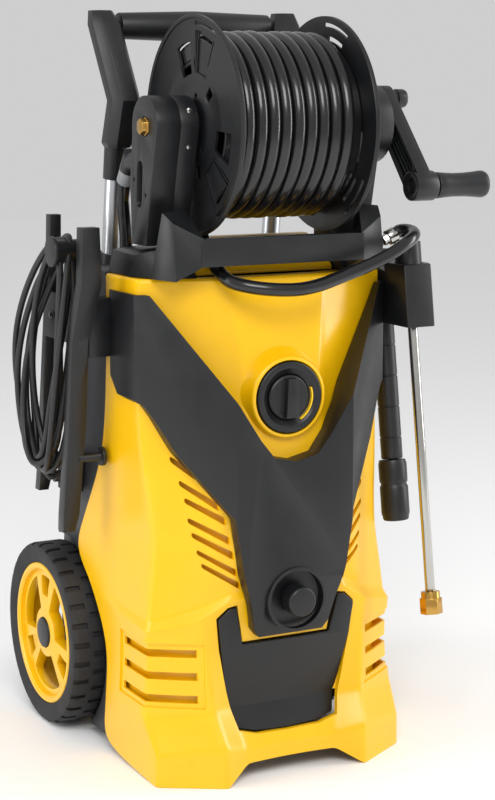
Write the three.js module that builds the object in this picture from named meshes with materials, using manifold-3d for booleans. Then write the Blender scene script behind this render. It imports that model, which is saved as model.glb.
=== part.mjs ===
// Upright electric pressure washer with a hose reel on top, wheels, a telescopic handle and lances.
// Millimetres, +Z up, +X to the operator's right when facing the front, the front faces -Y.
// The machine's symmetry plane is x = 0 while it is built; at the end the whole machine is moved so
// that the origin is the middle of the footprint of its box, on the floor.
import * as THREE from "three";
import { mergeVertices } from "three/addons/utils/BufferGeometryUtils.js";
import Module from "manifold-3d";

// ---- driving dimensions ----
const GAP = 0.3; // between pieces that touch
const SHELL_WALL = 3.2;
const SHELL_TOP = 562;

const REEL_Y = -117;
const REEL_Z = 726;
const FLANGE_RADIUS = 120;
const FLANGE_OUTER_X = 84;
const FLANGE_THICK = 6;
const HOSE_DIAMETER = 15;
const HOSE_LAYERS = 2;
const HOSE_TURNS = 10; // in each layer
const COIL_RADIUS = 103;

const WHEEL_RADIUS = 110.5;
const WHEEL_WIDTH = 44;
const WHEEL_Y = 101.5;
const WHEEL_OUTER_X = 187;
const RIM_RADIUS = 86;
const AXLE_RADIUS = 6;

const TUBE_X = 106;
const TUBE_RADIUS = 11;
const TUBE_LEAN = 0.148; // the handle tubes lean forward by this much per millimetre of height
const TUBE_Y_AT_TOP = 45; // at TUBE_TOP_Z
const TUBE_TOP_Z = 661;
const TUBE_BOTTOM_Z = 250;
const GRIP_Y = 53;
const GRIP_Z = 837;
const GRIP_RADIUS = 16;

const BRACKET_INNER_X = 90;
const BRACKET_OUTER_X = 140;
const BRACKET_RADIUS = 33;
const CRANK_RADIUS = 91;
const CRANK_GRIP_RADIUS = 15.5;
const CRANK_GRIP_END_X = 261;

const SWITCH_Z = 430;
const SWITCH_FACE_Y = -190;
const BEZEL_RADIUS = 40;
const KNOB_RADIUS = 25;
const DOSING_Z = 205;
const DOSING_RADIUS = 17;

const LANCE_X = 180;
const LANCE_LEAN = -0.15; // the lances lean the other way: their lower ends stand forward
const LANCE_RADIUS = 5.7;
const LANCE_TOP_Y = -144; // at z = LANCE_REF_Z
const VARIO_TOP_Y = -78;
const LANCE_REF_Z = 567;

const MOTOR_Y = 20;
const MOTOR_RADIUS = 62;
const PISTON_RADIUS = 9;

const CORD_DIAMETER = 7.5;

// ---- colours ----
const YELLOW = { color: 0xfbc900, roughness: 0.4, metalness: 0 };
const BLACK = { color: 0x25262a, roughness: 0.55, metalness: 0 };
const GREY = { color: 0x4a4b4e, roughness: 0.55, metalness: 0 };
const PALE_GREY = { color: 0x8f9193, roughness: 0.5, metalness: 0 };
const RUBBER = { color: 0x2b2b2d, roughness: 0.85, metalness: 0 };
const HOSE = { color: 0x131315, roughness: 0.3, metalness: 0 };
const ALUMINIUM = { color: 0xc9cccf, roughness: 0.35, metalness: 1 };
const STEEL = { color: 0xb5b2ac, roughness: 0.2, metalness: 1 };
const BRASS = { color: 0xc99a4a, roughness: 0.25, metalness: 1 };
const CAST = { color: 0x9a9c9e, roughness: 0.5, metalness: 1 };

// ---- solids: three.js makes each shape, manifold-3d joins and cuts them ----
const wasm = await Module();
wasm.setup();

function toSolid(geometry) {
  const bare = new THREE.BufferGeometry();
  const source = geometry.index ? geometry.toNonIndexed() : geometry;
  bare.setAttribute("position", source.getAttribute("position"));
  const merged = mergeVertices(bare, 1e-4);
  const vertProperties = merged.attributes.position.array;
  const triVerts = new Uint32Array(merged.index.array);
  return new wasm.Manifold(new wasm.Mesh({ numProp: 3, vertProperties, triVerts }));
}

function toGeometry(solid) {
  const mesh = solid.getMesh();
  const geometry = new THREE.BufferGeometry();
  geometry.setAttribute("position", new THREE.BufferAttribute(mesh.vertProperties, 3));
  geometry.setIndex(new THREE.BufferAttribute(mesh.triVerts, 1));
  return geometry;
}

function join(...pieces) {
  return toGeometry(pieces.map(toSolid).reduce((whole, piece) => whole.add(piece)));
}

function cut(geometry, ...tools) {
  return toGeometry(tools.map(toSolid).reduce((rest, tool) => rest.subtract(tool), toSolid(geometry)));
}

function overlap(a, b) {
  return toGeometry(toSolid(a).intersect(toSolid(b)));
}

function box(x0, x1, y0, y1, z0, z1) {
  const geometry = new THREE.BoxGeometry(x1 - x0, y1 - y0, z1 - z0);
  return geometry.translate((x0 + x1) / 2, (y0 + y1) / 2, (z0 + z1) / 2);
}

// A straight extrusion. The outline is in (y, z) for axis x, (x, z) for axis y and (x, y) for axis z.
function prism(axis, outline, from, to, holes = []) {
  const shape = new THREE.Shape(outline.map(([a, b]) => new THREE.Vector2(a, b)));
  shape.holes = holes.map((hole) => new THREE.Path(hole.map(([a, b]) => new THREE.Vector2(a, b))));
  const geometry = new THREE.ExtrudeGeometry(shape, { depth: to - from, bevelEnabled: false });
  if (axis === "y") return geometry.rotateX(Math.PI / 2).translate(0, to, 0);
  geometry.translate(0, 0, from);
  if (axis === "x") geometry.applyMatrix4(
    new THREE.Matrix4().set(0, 0, 1, 0, 1, 0, 0, 0, 0, 1, 0, 0, 0, 0, 0, 1),
  );
  return geometry;
}

// A turned piece: profile of [radius, distance along the axis], from the axis back to the axis or closed.
function turned(axis, profile, centre, segments = 32) {
  const points = profile.map(([radius, along]) => new THREE.Vector2(radius, along));
  const geometry = new THREE.LatheGeometry(points, segments);
  if (axis === "z") geometry.rotateX(Math.PI / 2);
  if (axis === "x") geometry.rotateZ(-Math.PI / 2);
  return geometry.translate(...centre);
}

function rod(axis, radius, from, to, centre, segments = 24) {
  return turned(axis, [[0, from], [radius, from], [radius, to], [0, to]], centre, segments);
}

function pipe(axis, inner, outer, from, to, centre, segments = 32) {
  const profile = [[inner, from], [outer, from], [outer, to], [inner, to], [inner, from]];
  return turned(axis, profile, centre, segments);
}

// A skin over stacked closed rings of [x, y, z] points, lowest ring first, each anticlockwise from above.
function loft(rings) {
  const count = rings[0].length;
  const flat = rings.flat(2);
  const index = [];
  for (let level = 0; level + 1 < rings.length; level++) {
    for (let i = 0; i < count; i++) {
      const a = level * count + i;
      const b = level * count + ((i + 1) % count);
      index.push(a, b, b + count, a, b + count, a + count);
    }
  }
  const capOf = (ring) => THREE.ShapeUtils.triangulateShape(
    ring.map(([x, y]) => new THREE.Vector2(x, y)), [],
  );
  const top = (rings.length - 1) * count;
  for (const [a, b, c] of capOf(rings[0])) index.push(a, c, b);
  for (const [a, b, c] of capOf(rings.at(-1))) index.push(top + a, top + b, top + c);
  const geometry = new THREE.BufferGeometry();
  geometry.setAttribute("position", new THREE.BufferAttribute(new Float32Array(flat), 3));
  geometry.setIndex(index);
  return geometry;
}

// A round tube through hand-chosen points, by a smooth curve.
function tube(points, radius, sides, steps) {
  const curve = new THREE.CatmullRomCurve3(points.map((p) => new THREE.Vector3(...p)), false, "centripetal");
  const section = new THREE.Shape(ringPoints(radius, sides).map(([a, b]) => new THREE.Vector2(a, b)));
  return new THREE.ExtrudeGeometry(section, { extrudePath: curve, steps, bevelEnabled: false });
}

function ringPoints(radius, sides, a0 = 0, b0 = 0) {
  return Array.from({ length: sides }, (_, i) => {
    const turn = (i / sides) * 2 * Math.PI;
    return [a0 + radius * Math.cos(turn), b0 + radius * Math.sin(turn)];
  });
}

function arc(a0, b0, radius, fromDeg, toDeg, steps) {
  return Array.from({ length: steps + 1 }, (_, i) => {
    const turn = ((fromDeg + ((toDeg - fromDeg) * i) / steps) * Math.PI) / 180;
    return [a0 + radius * Math.cos(turn), b0 + radius * Math.sin(turn)];
  });
}

// The mirror image in x = 0, with its faces turned back to point out.
function mirrored(geometry) {
  const flat = (geometry.index ? geometry.toNonIndexed() : geometry.clone()).applyMatrix4(
    new THREE.Matrix4().makeScale(-1, 1, 1),
  );
  const position = flat.attributes.position;
  for (let i = 0; i < position.count; i += 3) {
    const b = new THREE.Vector3().fromBufferAttribute(position, i + 1);
    const c = new THREE.Vector3().fromBufferAttribute(position, i + 2);
    position.setXYZ(i + 1, c.x, c.y, c.z);
    position.setXYZ(i + 2, b.x, b.y, b.z);
  }
  return flat;
}

// A half outline with x > 0, from front middle to rear middle, closed by its mirror image.
function bothSides(half) {
  const otherSide = half.filter(([x]) => x > 0).map(([x, ...rest]) => [-x, ...rest]);
  return [...half, ...otherSide.reverse()];
}

const machine = new THREE.Group();
const cordGroup = new THREE.Group();

function add(name, geometry, finish, group = machine) {
  geometry.deleteAttribute("normal");
  geometry.deleteAttribute("uv");
  const mesh = new THREE.Mesh(geometry, new THREE.MeshStandardMaterial(finish));
  mesh.name = name;
  group.add(mesh);
  return mesh;
}

// ---- yellow front shell ----
// Each level: height, then the half section's rear edge, side corner, front crease, inner crease and
// the depth of its middle.
const SHELL_LEVELS = [
  { z: 0, rear: [158, -25], corner: [157.3, -170.4], crease: [87, -211], inner: [55, -196], front: -190 },
  { z: 35, rear: [158, -28], corner: [157, -170], crease: [87.7, -211], inner: [57, -196], front: -190 },
  { z: 79, rear: [161, -38], corner: [161.6, -142.7], crease: [93.9, -190], inner: [62, -170], front: -166 },
  { z: 109, rear: [159, -42], corner: [157.5, -143], crease: [96, -186], inner: [68, -172], front: -170 },
  { z: 165, rear: [158, -20], corner: [156, -143], crease: [102, -178], inner: [80, -176], front: -176 },
  { z: 187, rear: [158, 0], corner: [154, -142.5], crease: [104, -175], inner: [70, -184], front: -186 },
  { z: 206, rear: [158, 24], corner: [151.5, -141.5], crease: [84, -180], inner: [60, -187], front: -188 },
  { z: 225, rear: [158, 56], corner: [148.5, -140.5], crease: [72, -186], inner: [55, -188], front: -188 },
  { z: 263, rear: [157, 33], corner: [142.5, -138], crease: [72, -188], inner: [55, -189], front: -189 },
  { z: 300, rear: [156, 8], corner: [144, -133], crease: [74, -188], inner: [55, -188], front: -188 },
  { z: 351, rear: [155, -24], corner: [150, -125.5], crease: [76, -180], inner: [48, -184], front: -184 },
  { z: 440, rear: [156, -39], corner: [152, -120], crease: [60, -166], inner: [44, -172], front: -172 },
  { z: 545, rear: [156, -43], corner: [153, -122], crease: [66, -154], inner: [59, -156], front: -156 },
  { z: SHELL_TOP, rear: [156, -43], corner: [153, -122], crease: [66, -151], inner: [59, -153],
    front: -153 },
];

// One closed level of the shell's outer form, grown outwards by offset (or shrunk by a negative one).
function shellRing(level, offset, z = level.z) {
  const grow = ([x, y], across, forward) => [x + offset * across, y - offset * forward, z];
  const half = [
    [0, level.front - offset, z],
    grow(level.inner, 0.1, 1),
    grow(level.crease, 0.5, 1),
    grow(level.corner, 1, 0.6),
    grow(level.rear, 1, 0),
  ];
  return bothSides(half);
}

function shellForm(offset, fromZ, toZ) {
  const levels = SHELL_LEVELS.map((level) => ({ ...level, z: Math.min(Math.max(level.z, fromZ), toZ) }));
  const distinct = levels.filter((level, i) => {
    const next = SHELL_LEVELS[i + 1];
    const previous = SHELL_LEVELS[i - 1];
    return !(next && next.z <= fromZ) && !(previous && previous.z >= toZ);
  });
  return loft(distinct.map((level) => shellRing(level, offset)));
}

const TANK_OUTLINE = [
  [0, 49], [40, 51], [62, 57], [73, 100], [82, 150], [86, 186], [74, 197], [64.5, 199], [59, 172],
  [55.5, 154], [0, 154],
];
const TANK_POCKET_GAP = 1.5;

// A closed outline in (a, b), anticlockwise, moved outwards by an even offset with mitred corners.
function grown(outline, offset) {
  return outline.map((point, i) => {
    const here = new THREE.Vector2(...point);
    const before = new THREE.Vector2(...outline.at(i - 1)).sub(here).normalize();
    const after = new THREE.Vector2(...outline[(i + 1) % outline.length]).sub(here).normalize();
    const outOfBefore = new THREE.Vector2(-before.y, before.x);
    const outOfAfter = new THREE.Vector2(after.y, -after.x);
    const mitre = outOfBefore.clone().add(outOfAfter);
    const reach = offset / (1 + outOfBefore.dot(outOfAfter));
    return [point[0] + mitre.x * reach, point[1] + mitre.y * reach];
  });
}

// Slots through the slanted front faces: [inner x, outer x, z at the inner end, z at the outer end, height].
const UPPER_SLOTS = [
  [78, 116, 306, 332, 14], [70, 110, 268, 292, 16], [62, 104, 232, 256, 16],
];
const LOWER_SLOT_Z = [148, 122, 96];
const LOWER_SLOT_HEIGHT = 9;

function ventSlots() {
  const slots = [];
  for (const side of [-1, 1]) {
    for (const [inner, outer, zInner, zOuter, height] of UPPER_SLOTS) {
      const outline = [
        [inner, zInner - height], [outer, zOuter - height * 0.6], [outer - 4, zOuter], [inner, zInner],
      ];
      const flipped = outline.map(([x, z]) => [side * x, z]);
      slots.push(prism("y", side > 0 ? flipped : flipped.reverse(), -210, -120));
    }
    for (const z of LOWER_SLOT_Z) {
      const xs = side > 0 ? [108, 146] : [-146, -108];
      slots.push(box(...xs, -200, -120, z - LOWER_SLOT_HEIGHT / 2, z + LOWER_SLOT_HEIGHT / 2));
      const sides = side > 0 ? [150, 170] : [-170, -150];
      slots.push(box(...sides, -125, -85, z - LOWER_SLOT_HEIGHT / 2, z + LOWER_SLOT_HEIGHT / 2));
    }
  }
  return slots;
}

function frontShell() {
  const collar = rod("y", BEZEL_RADIUS + 6, -188, -150, [0, 0, SWITCH_Z], 36);
  const outer = join(shellForm(0, 0, SHELL_TOP), collar);
  const inside = shellForm(-SHELL_WALL, -10, SHELL_TOP - 4);
  const openBack = box(-SHELL_WALL - 152, 152 + SHELL_WALL, -60, 80, -10, SHELL_TOP - 4);
  const belowLip = prism("y", [[-90, -9], [90, -9], [88, 0.5], [55, 22], [-55, 22], [-88, 0.5]], -230, -100);
  const belowSides = prism("x", [[-136, -9], [90, -9], [90, 10], [-116, 10], [-130, 0.5]], -200, 200);
  const feetBack = box(-152, 152, -150, 90, -9, 6);
  const pocket = prism("y", grown(bothSides(TANK_OUTLINE), TANK_POCKET_GAP), -230, -120);
  const bezelHole = rod("y", BEZEL_RADIUS + GAP, -200, -140, [0, 0, SWITCH_Z], 36);
  const dosingHole = rod("y", 8, -200, -150, [0, 0, DOSING_Z]);
  const cuts = [inside, openBack, belowLip, belowSides, feetBack, pocket, bezelHole, dosingHole];
  return cut(outer, ...cuts, ...ventSlots(), ...wheelPockets(0));
}

// ---- dark rear shell ----
const REAR_LEVELS = [[12, 172], [110, 168], [225, 156], [330, 134], [SHELL_TOP, 100]];
const REAR_FRONT_Y = -30;
const REAR_HALF_WIDTH = 151;
const WHEEL_POCKET_RADIUS = WHEEL_RADIUS + 9;
const WHEEL_POCKET_X = WHEEL_OUTER_X - WHEEL_WIDTH - 7;

function rearForm(inset, bottom, top) {
  const x = REAR_HALF_WIDTH - inset;
  const front = REAR_FRONT_Y - (inset > 0 ? 10 : 0);
  const rings = REAR_LEVELS.map(([z, rear], i) => {
    const height = i === 0 ? bottom : i === REAR_LEVELS.length - 1 ? top : z;
    const y = rear - inset;
    return bothSides(
      [[0, front, height], [x, front, height], [x, y - 30, height], [x - 24, y, height], [0, y, height]],
    );
  });
  return loft(rings);
}

function wheelPockets(extra) {
  const radius = WHEEL_POCKET_RADIUS + extra;
  return [-1, 1].map((side) => {
    const span = [side * (WHEEL_POCKET_X - extra), side * 210].sort((a, b) => a - b);
    return rod("x", radius, ...span, [0, WHEEL_Y, WHEEL_RADIUS], 40);
  });
}

// The handle tube's middle at a height.
function tubePoint(side, z) {
  return [side * TUBE_X, TUBE_Y_AT_TOP + (TUBE_TOP_Z - z) * TUBE_LEAN, z];
}

// A straight round bar or pipe between two points, by leaning an upright one.
function between(start, end, outer, inner = 0, segments = 24) {
  const a = new THREE.Vector3(...start);
  const direction = new THREE.Vector3(...end).sub(a);
  const upright = inner > 0
    ? pipe("z", inner, outer, 0, direction.length(), [0, 0, 0], segments)
    : rod("z", outer, 0, direction.length(), [0, 0, 0], segments);
  const turn = new THREE.Quaternion().setFromUnitVectors(
    new THREE.Vector3(0, 0, 1), direction.clone().normalize(),
  );
  return upright.applyQuaternion(turn).translate(...start);
}

function rearShell() {
  const outer = cut(rearForm(0, 12, SHELL_TOP), ...wheelPockets(0));
  const inside = cut(rearForm(SHELL_WALL, 0, SHELL_TOP - 4), ...wheelPockets(SHELL_WALL));
  const tubeHoles = [-1, 1].map(
    (side) => between(tubePoint(side, 500), tubePoint(side, 600), TUBE_RADIUS + 4 + GAP),
  );
  const feedHole = rod("z", 10, 540, 580, [-120, -20, 0]);
  const axleHole = rod("x", AXLE_RADIUS + 1, -200, 200, [0, WHEEL_Y, WHEEL_RADIUS]);
  const inletHole = rod("y", 15, 120, 190, [60, 0, 300]);
  return cut(outer, inside, ...tubeHoles, feedHole, axleHole, inletHole);
}

// ---- black V-shaped front panel ----
const V_CREASE = [72, -205];
const V_CORNER = [158.5, -125];
const V_SIDE_REAR_Y = -58;
const V_SKIN = 4;
const V_LOWER_EDGE = [
  [158.5, 430], [151, 424], [142, 409], [123, 371], [74.5, 302], [64, 236], [53, 200], [47, 172],
  [40, 163],
];
const V_UPPER_EDGE = [[27, 367], [44, 388], [V_CREASE[0], 431], [145, 545], [158.5, 545]];

function vPlan(inset) {
  const half = [
    [0, V_CREASE[1] + inset],
    [V_CREASE[0] - inset * 0.4, V_CREASE[1] + inset],
    [V_CORNER[0] - inset, V_CORNER[1] + inset * 0.4],
    [V_CORNER[0] - inset, V_SIDE_REAR_Y + (inset > 0 ? 20 : 0)],
  ];
  return bothSides(half);
}

function vPanel() {
  const lower = bothSides(
    [[0, 163], ...[...V_LOWER_EDGE].reverse(), ...[...V_UPPER_EDGE].reverse(), [0, 361]],
  );
  const face = prism("y", lower, -240, V_SIDE_REAR_Y);
  const solid = overlap(prism("z", vPlan(0), 150, 560), face);
  const slopedFoot = prism("x", [[-240, 150], [-190, 150], [-203, 215], [-207, 240], [-240, 240]], -60, 60);
  const armHollow = [-1, 1].map((side) => {
    const outline = [
      [62, 332], [120, 390], [152, 438], [152, 538], [146, 538], [62, 405],
    ].map(([x, z]) => [side * x, z]);
    return prism("y", side > 0 ? outline : outline.reverse(), -240, V_SIDE_REAR_Y + 1);
  });
  const hollow = armHollow.map((arm) => overlap(prism("z", vPlan(V_SKIN), 150, 560), arm));
  const sideCorner = prism("x", [[-57, 400], [-57, 450], [-77, 430], [-100, 424], [-100, 400]], -170, 170);
  const bodyOfShell = shellForm(GAP, 0, SHELL_TOP);
  const backFill = box(-152, 152, -110, -40, 150, 560);
  const recess = rod("y", 33, -215, -196, [0, 0, DOSING_Z], 36);
  const stemHole = rod("y", 6, -215, -180, [0, 0, DOSING_Z]);
  const bezelClear = rod("y", BEZEL_RADIUS + 6 + GAP, -215, -150, [0, 0, SWITCH_Z], 36);
  const ring = pipe("y", 33, 37, -208, -200, [0, 0, DOSING_Z], 36);
  const whole = cut(solid, ...hollow, slopedFoot, sideCorner, bodyOfShell, backFill, bezelClear);
  return cut(join(whole, ring), recess, stemHole);
}

add("front_shell", frontShell(), YELLOW);
add("rear_shell", rearShell(), GREY);
add("v_panel", vPanel(), BLACK);

// ---- top deck and the black frame that carries the reel ----
const FRAME_FLOOR = SHELL_TOP + GAP;
const BAR = { halfWidth: 101, front: -176, back: -160, bottom: 577, top: 607 };

function gusset() {
  const bottom = [
    [98, -176, 578], [130, -173, FRAME_FLOOR], [141, -132, FRAME_FLOOR], [98, -132, FRAME_FLOOR],
  ];
  const top = [[98, -176, 607], [129, -165, 624], [135, -149, 635], [109, -149, 638]];
  return loft([bottom, top]);
}

function curb() {
  const bottom = [
    [131, -145], [150, -97], [150, -36], [92, -36], [92, -145],
  ].map(([x, y]) => [x, y, FRAME_FLOOR]);
  const top = [[129, -123, 593], [146, -99, 586], [146, -40, 588], [92, -40, 594], [92, -123, 594]];
  return loft([bottom, top]);
}

function topFrame() {
  const bar = box(-BAR.halfWidth, BAR.halfWidth, BAR.front, BAR.back, BAR.bottom, BAR.top);
  const half = join(gusset(), curb());
  const rearRail = box(-146, 146, -50, -36, FRAME_FLOOR, 582);
  const feedHole = rod("z", HOSE_DIAMETER / 2 + 1, 550, 610, [-120, -20, 0]);
  const fittingBoss = rod("x", 7, 126, 137.5, [0, -151, 592], 16);
  return cut(join(bar, half, mirrored(half), rearRail, fittingBoss), feedHole);
}

add("top_frame", topFrame(), BLACK);
// A sloping skin, open underneath, low in front so that the reel's hose can pass over it.
function deckPanel() {
  const outer = [[-124, FRAME_FLOOR], [-52, FRAME_FLOOR], [-52, 600], [-66, 600], [-118, 572], [-124, 566]];
  const inner = [[-119, 560], [-55, 560], [-55, 597], [-65, 597], [-116, 569]];
  return cut(prism("x", outer, -90, 90), prism("x", inner, -87, 87));
}
add("deck_panel", deckPanel(), YELLOW);

// ---- reel brackets ----
// The upright's side view: a round head about the reel's axle on a leg that stands on the frame.
const LEG = [[-81, 597], [-77, 663], [-84, 716]];
const LEG_FRONT = [[-140, 690], [-118, 597]];
const BRACKET_SPLIT_X = 112;

function bracketOutline() {
  return [...LEG, ...arc(REEL_Y, REEL_Z, BRACKET_RADIUS, 0, 180, 14), ...LEG_FRONT].reverse();
}

const AXLE_STUB_RADIUS = 14;
function axleHoleAtReel(radius) {
  return rod("x", radius, -220, 220, [0, REEL_Y, REEL_Z], 28);
}

function leftBracket() {
  const upright = prism("x", bracketOutline(), -BRACKET_SPLIT_X, -BRACKET_INNER_X);
  return cut(upright, axleHoleAtReel(AXLE_STUB_RADIUS + 0.5));
}

function leftBracketCover() {
  const cover = prism("x", bracketOutline(), -BRACKET_OUTER_X, -BRACKET_SPLIT_X - GAP);
  const stub = join(
    between([-125, -96, 694], [-125, -49, 685], 11),
    between([-125, -52, 693.6], [-124.5, -38, 676], 10.5),
  );
  const obround = [...arc(-104, 682, 7, 0, 180, 8), ...arc(-101, 645, 7, 180, 360, 8)];
  const slot = prism("x", obround, -BRACKET_OUTER_X - 5, -BRACKET_OUTER_X + 12);
  const screwHoles = [[-88, 668], [-118, 652]].map(([y, z]) => rod("x", 2.5, -145, -130, [0, y, z], 12));
  const swivelSeat = rod("x", 11, -150, -126, [0, REEL_Y, REEL_Z]);
  return cut(join(cover, stub), axleHoleAtReel(8), swivelSeat, slot, ...screwHoles);
}

function rightBracket() {
  const upright = prism("x", bracketOutline(), BRACKET_INNER_X, BRACKET_OUTER_X);
  const gearHead = rod("x", 44, BRACKET_INNER_X, BRACKET_OUTER_X + 8, [0, REEL_Y, REEL_Z], 36);
  return cut(join(upright, gearHead), axleHoleAtReel(AXLE_STUB_RADIUS + 0.5));
}

add("reel_bracket_left", leftBracket(), BLACK);
add("bracket_cover_left", leftBracketCover(), GREY);
add("reel_bracket_right", rightBracket(), BLACK);
add(
  "inlet_swivel",
  turned("x", [[0, 0], [9, 0], [9, 6], [10.5, 6], [10.5, 17], [0, 17]], [-146, REEL_Y, REEL_Z], 6),
  BRASS,
);
add("feed_nut", between([-124.5, -37.7, 675.6], [-124.1, -27.2, 662.4], 10, 0, 18), PALE_GREY);

// ---- hose reel ----
const reel = new THREE.Group();
machine.add(reel);
const CORE_RADIUS = COIL_RADIUS - HOSE_LAYERS * HOSE_DIAMETER;

function flange(side) {
  const windows = [];
  for (let i = 0; i < 6; i++) {
    const middle = 60 * i + 30;
    const outerArc = arc(REEL_Y, REEL_Z, 100, middle - 17, middle + 17, 4);
    const innerArc = arc(REEL_Y, REEL_Z, 86, middle + 15, middle - 15, 4);
    windows.push([...outerArc, ...innerArc]);
  }
  const disc = arc(REEL_Y, REEL_Z, FLANGE_RADIUS, 0, 352.5, 47);
  const inner = side * (FLANGE_OUTER_X - FLANGE_THICK);
  const span = [inner, side * FLANGE_OUTER_X].sort((a, b) => a - b);
  const plate = prism("x", disc, ...span, windows);
  const hubFrom = [side * FLANGE_OUTER_X - side * 1, side * 110].sort((a, b) => a - b);
  const stub = rod("x", AXLE_STUB_RADIUS, ...hubFrom, [0, REEL_Y, REEL_Z], 28);
  return join(plate, stub);
}

const CRANK_HEADING = 229; // degrees from +y towards +z: down and forwards at rest
const [CRANK_GRIP_AT] = arc(REEL_Y, REEL_Z, CRANK_RADIUS, CRANK_HEADING, CRANK_HEADING, 1);
const [CRANK_TAIL_AT] = arc(REEL_Y, REEL_Z, 37, CRANK_HEADING + 180, CRANK_HEADING + 180, 1);
const CRANK_ARM_X = [164, 182];
const CRANK_BOSS_X = [160, 190];

function crankArm() {
  const outline = [
    ...arc(...CRANK_GRIP_AT, 17, CRANK_HEADING - 90, CRANK_HEADING + 90, 10),
    ...arc(...CRANK_TAIL_AT, 17, CRANK_HEADING + 90, CRANK_HEADING + 270, 10),
  ];
  const lever = prism("x", outline, ...CRANK_ARM_X);
  const boss = rod("x", 17, ...CRANK_BOSS_X, [0, ...CRANK_GRIP_AT], 28);
  const spindle = rod("x", AXLE_STUB_RADIUS, 110 + GAP, CRANK_ARM_X[0] + 2, [0, REEL_Y, REEL_Z], 28);
  const pin = rod("x", 11, 158, 203, [0, ...CRANK_TAIL_AT], 20);
  const pinHole = rod("x", 5.4, 176, 200, [0, ...CRANK_GRIP_AT], 20);
  return cut(join(lever, boss, spindle, pin), pinHole);
}

add("reel_flange_left", flange(-1), BLACK, reel);
add("reel_flange_right", flange(1), BLACK, reel);
const coreHalf = FLANGE_OUTER_X - FLANGE_THICK - GAP;
add(
  "reel_core",
  pipe("x", CORE_RADIUS - 5, CORE_RADIUS - 1, -coreHalf, coreHalf, [0, REEL_Y, REEL_Z], 40), BLACK,
  reel,
);
add("crank_arm", crankArm(), BLACK, reel);

// The hose on the drum: one closed ring whose outer side shows the turns of the top layer.
function woundHose() {
  const half = FLANGE_OUTER_X - FLANGE_THICK - 1;
  const pitch = (2 * half) / HOSE_TURNS;
  const profile = [[CORE_RADIUS, -half]];
  for (let i = 0; i < HOSE_TURNS; i++) {
    const start = -half + i * pitch;
    profile.push([COIL_RADIUS - 5, start], [COIL_RADIUS, start + pitch * 0.5]);
  }
  profile.push([COIL_RADIUS - 5, half], [CORE_RADIUS, half], [CORE_RADIUS, -half]);
  return turned("x", profile, [0, REEL_Y, REEL_Z], 32);
}
add("wound_hose", woundHose(), HOSE, reel);

function crankGrip() {
  const [y, z] = CRANK_GRIP_AT;
  const end = CRANK_GRIP_END_X;
  const profile = [
    [0, 177], [5, 177], [5, 190.6], [12, 190.6], [CRANK_GRIP_RADIUS - 0.5, 194],
    [CRANK_GRIP_RADIUS - 2, 215],
    [CRANK_GRIP_RADIUS - 1, 240], [CRANK_GRIP_RADIUS, end - 8], [CRANK_GRIP_RADIUS - 3, end - 1],
    [8, end], [0, end],
  ];
  return turned("x", profile, [0, y, z], 28);
}
add("crank_grip", crankGrip(), BLACK);

// ---- wheels and axle ----
function tyre(side) {
  const inner = WHEEL_OUTER_X - WHEEL_WIDTH;
  const outer = WHEEL_OUTER_X;
  const profile = [
    [RIM_RADIUS + GAP, inner + 4], [RIM_RADIUS + 14, inner], [WHEEL_RADIUS - 6, inner + 3],
    [WHEEL_RADIUS, inner + 10],
    [WHEEL_RADIUS, outer - 10], [WHEEL_RADIUS - 6, outer - 3], [RIM_RADIUS + 14, outer],
    [RIM_RADIUS + GAP, outer - 3],
    [RIM_RADIUS + GAP, inner + 4],
  ];
  const right = turned("x", profile, [0, WHEEL_Y, WHEEL_RADIUS], 48);
  return side > 0 ? right : mirrored(right);
}

function rim(side) {
  const face = WHEEL_OUTER_X - 3;
  const openings = [0, 1, 2].map((i) => {
    const middle = 90 + 120 * i + 60;
    const far = arc(WHEEL_Y, WHEEL_RADIUS, 64, middle - 34, middle + 34, 6);
    const near = arc(WHEEL_Y, WHEEL_RADIUS, 30, middle + 22, middle - 22, 2);
    return [...far, ...near];
  });
  const disc = prism(
    "x", arc(WHEEL_Y, WHEEL_RADIUS, RIM_RADIUS - 6, 0, 350, 35), face - 14, face - 6, openings,
  );
  const barrel = pipe(
    "x", RIM_RADIUS - 8, RIM_RADIUS, WHEEL_OUTER_X - WHEEL_WIDTH + 4, face, [0, WHEEL_Y, WHEEL_RADIUS],
    48,
  );
  const hub = rod("x", 22, face - 34, face - 2, [0, WHEEL_Y, WHEEL_RADIUS], 24);
  const bore = rod("x", AXLE_RADIUS + GAP, face - 60, face - 8, [0, WHEEL_Y, WHEEL_RADIUS], 24);
  const right = cut(join(disc, barrel, hub), bore);
  return side > 0 ? right : mirrored(right);
}

for (const [side, word] of [[-1, "left"], [1, "right"]]) {
  add("tyre_" + word, tyre(side), RUBBER);
  add("rim_" + word, rim(side), YELLOW);
}
const AXLE_END_X = WHEEL_OUTER_X - 3 - 9;
add("axle", rod("x", AXLE_RADIUS, -AXLE_END_X, AXLE_END_X, [0, WHEEL_Y, WHEEL_RADIUS], 20), STEEL);

// ---- telescopic handle ----
const handle = new THREE.Group();
machine.add(handle);
const ARM_TOP_X = 117; // the middle of each arm where the grip joins it
// Arm stations, lowest first: height, middle x and middle y of an eight-sided section.
const ARM_STATIONS = [
  [704, TUBE_X, 33], [752, TUBE_X, 15], [GRIP_Z + 1, ARM_TOP_X, GRIP_Y - 10],
  [GRIP_Z + 17, ARM_TOP_X + 2, GRIP_Y - 3],
];
const ARM_HALF = [TUBE_RADIUS + 6.5, TUBE_RADIUS + 9];
const ARM_CHAMFER = [8, 12];

function armRing([z, x, y], scale = 1) {
  const [hx, hy] = ARM_HALF.map((half) => half * scale);
  const [cx, cy] = ARM_CHAMFER.map((chamfer) => chamfer * scale);
  const corners = [
    [hx, -hy + cy], [hx, hy - cy], [hx - cx, hy], [-hx + cx, hy],
    [-hx, hy - cy], [-hx, -hy + cy], [-hx + cx, -hy], [hx - cx, -hy],
  ];
  return corners.map(([dx, dy]) => [x + dx, y + dy, z]);
}

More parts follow.
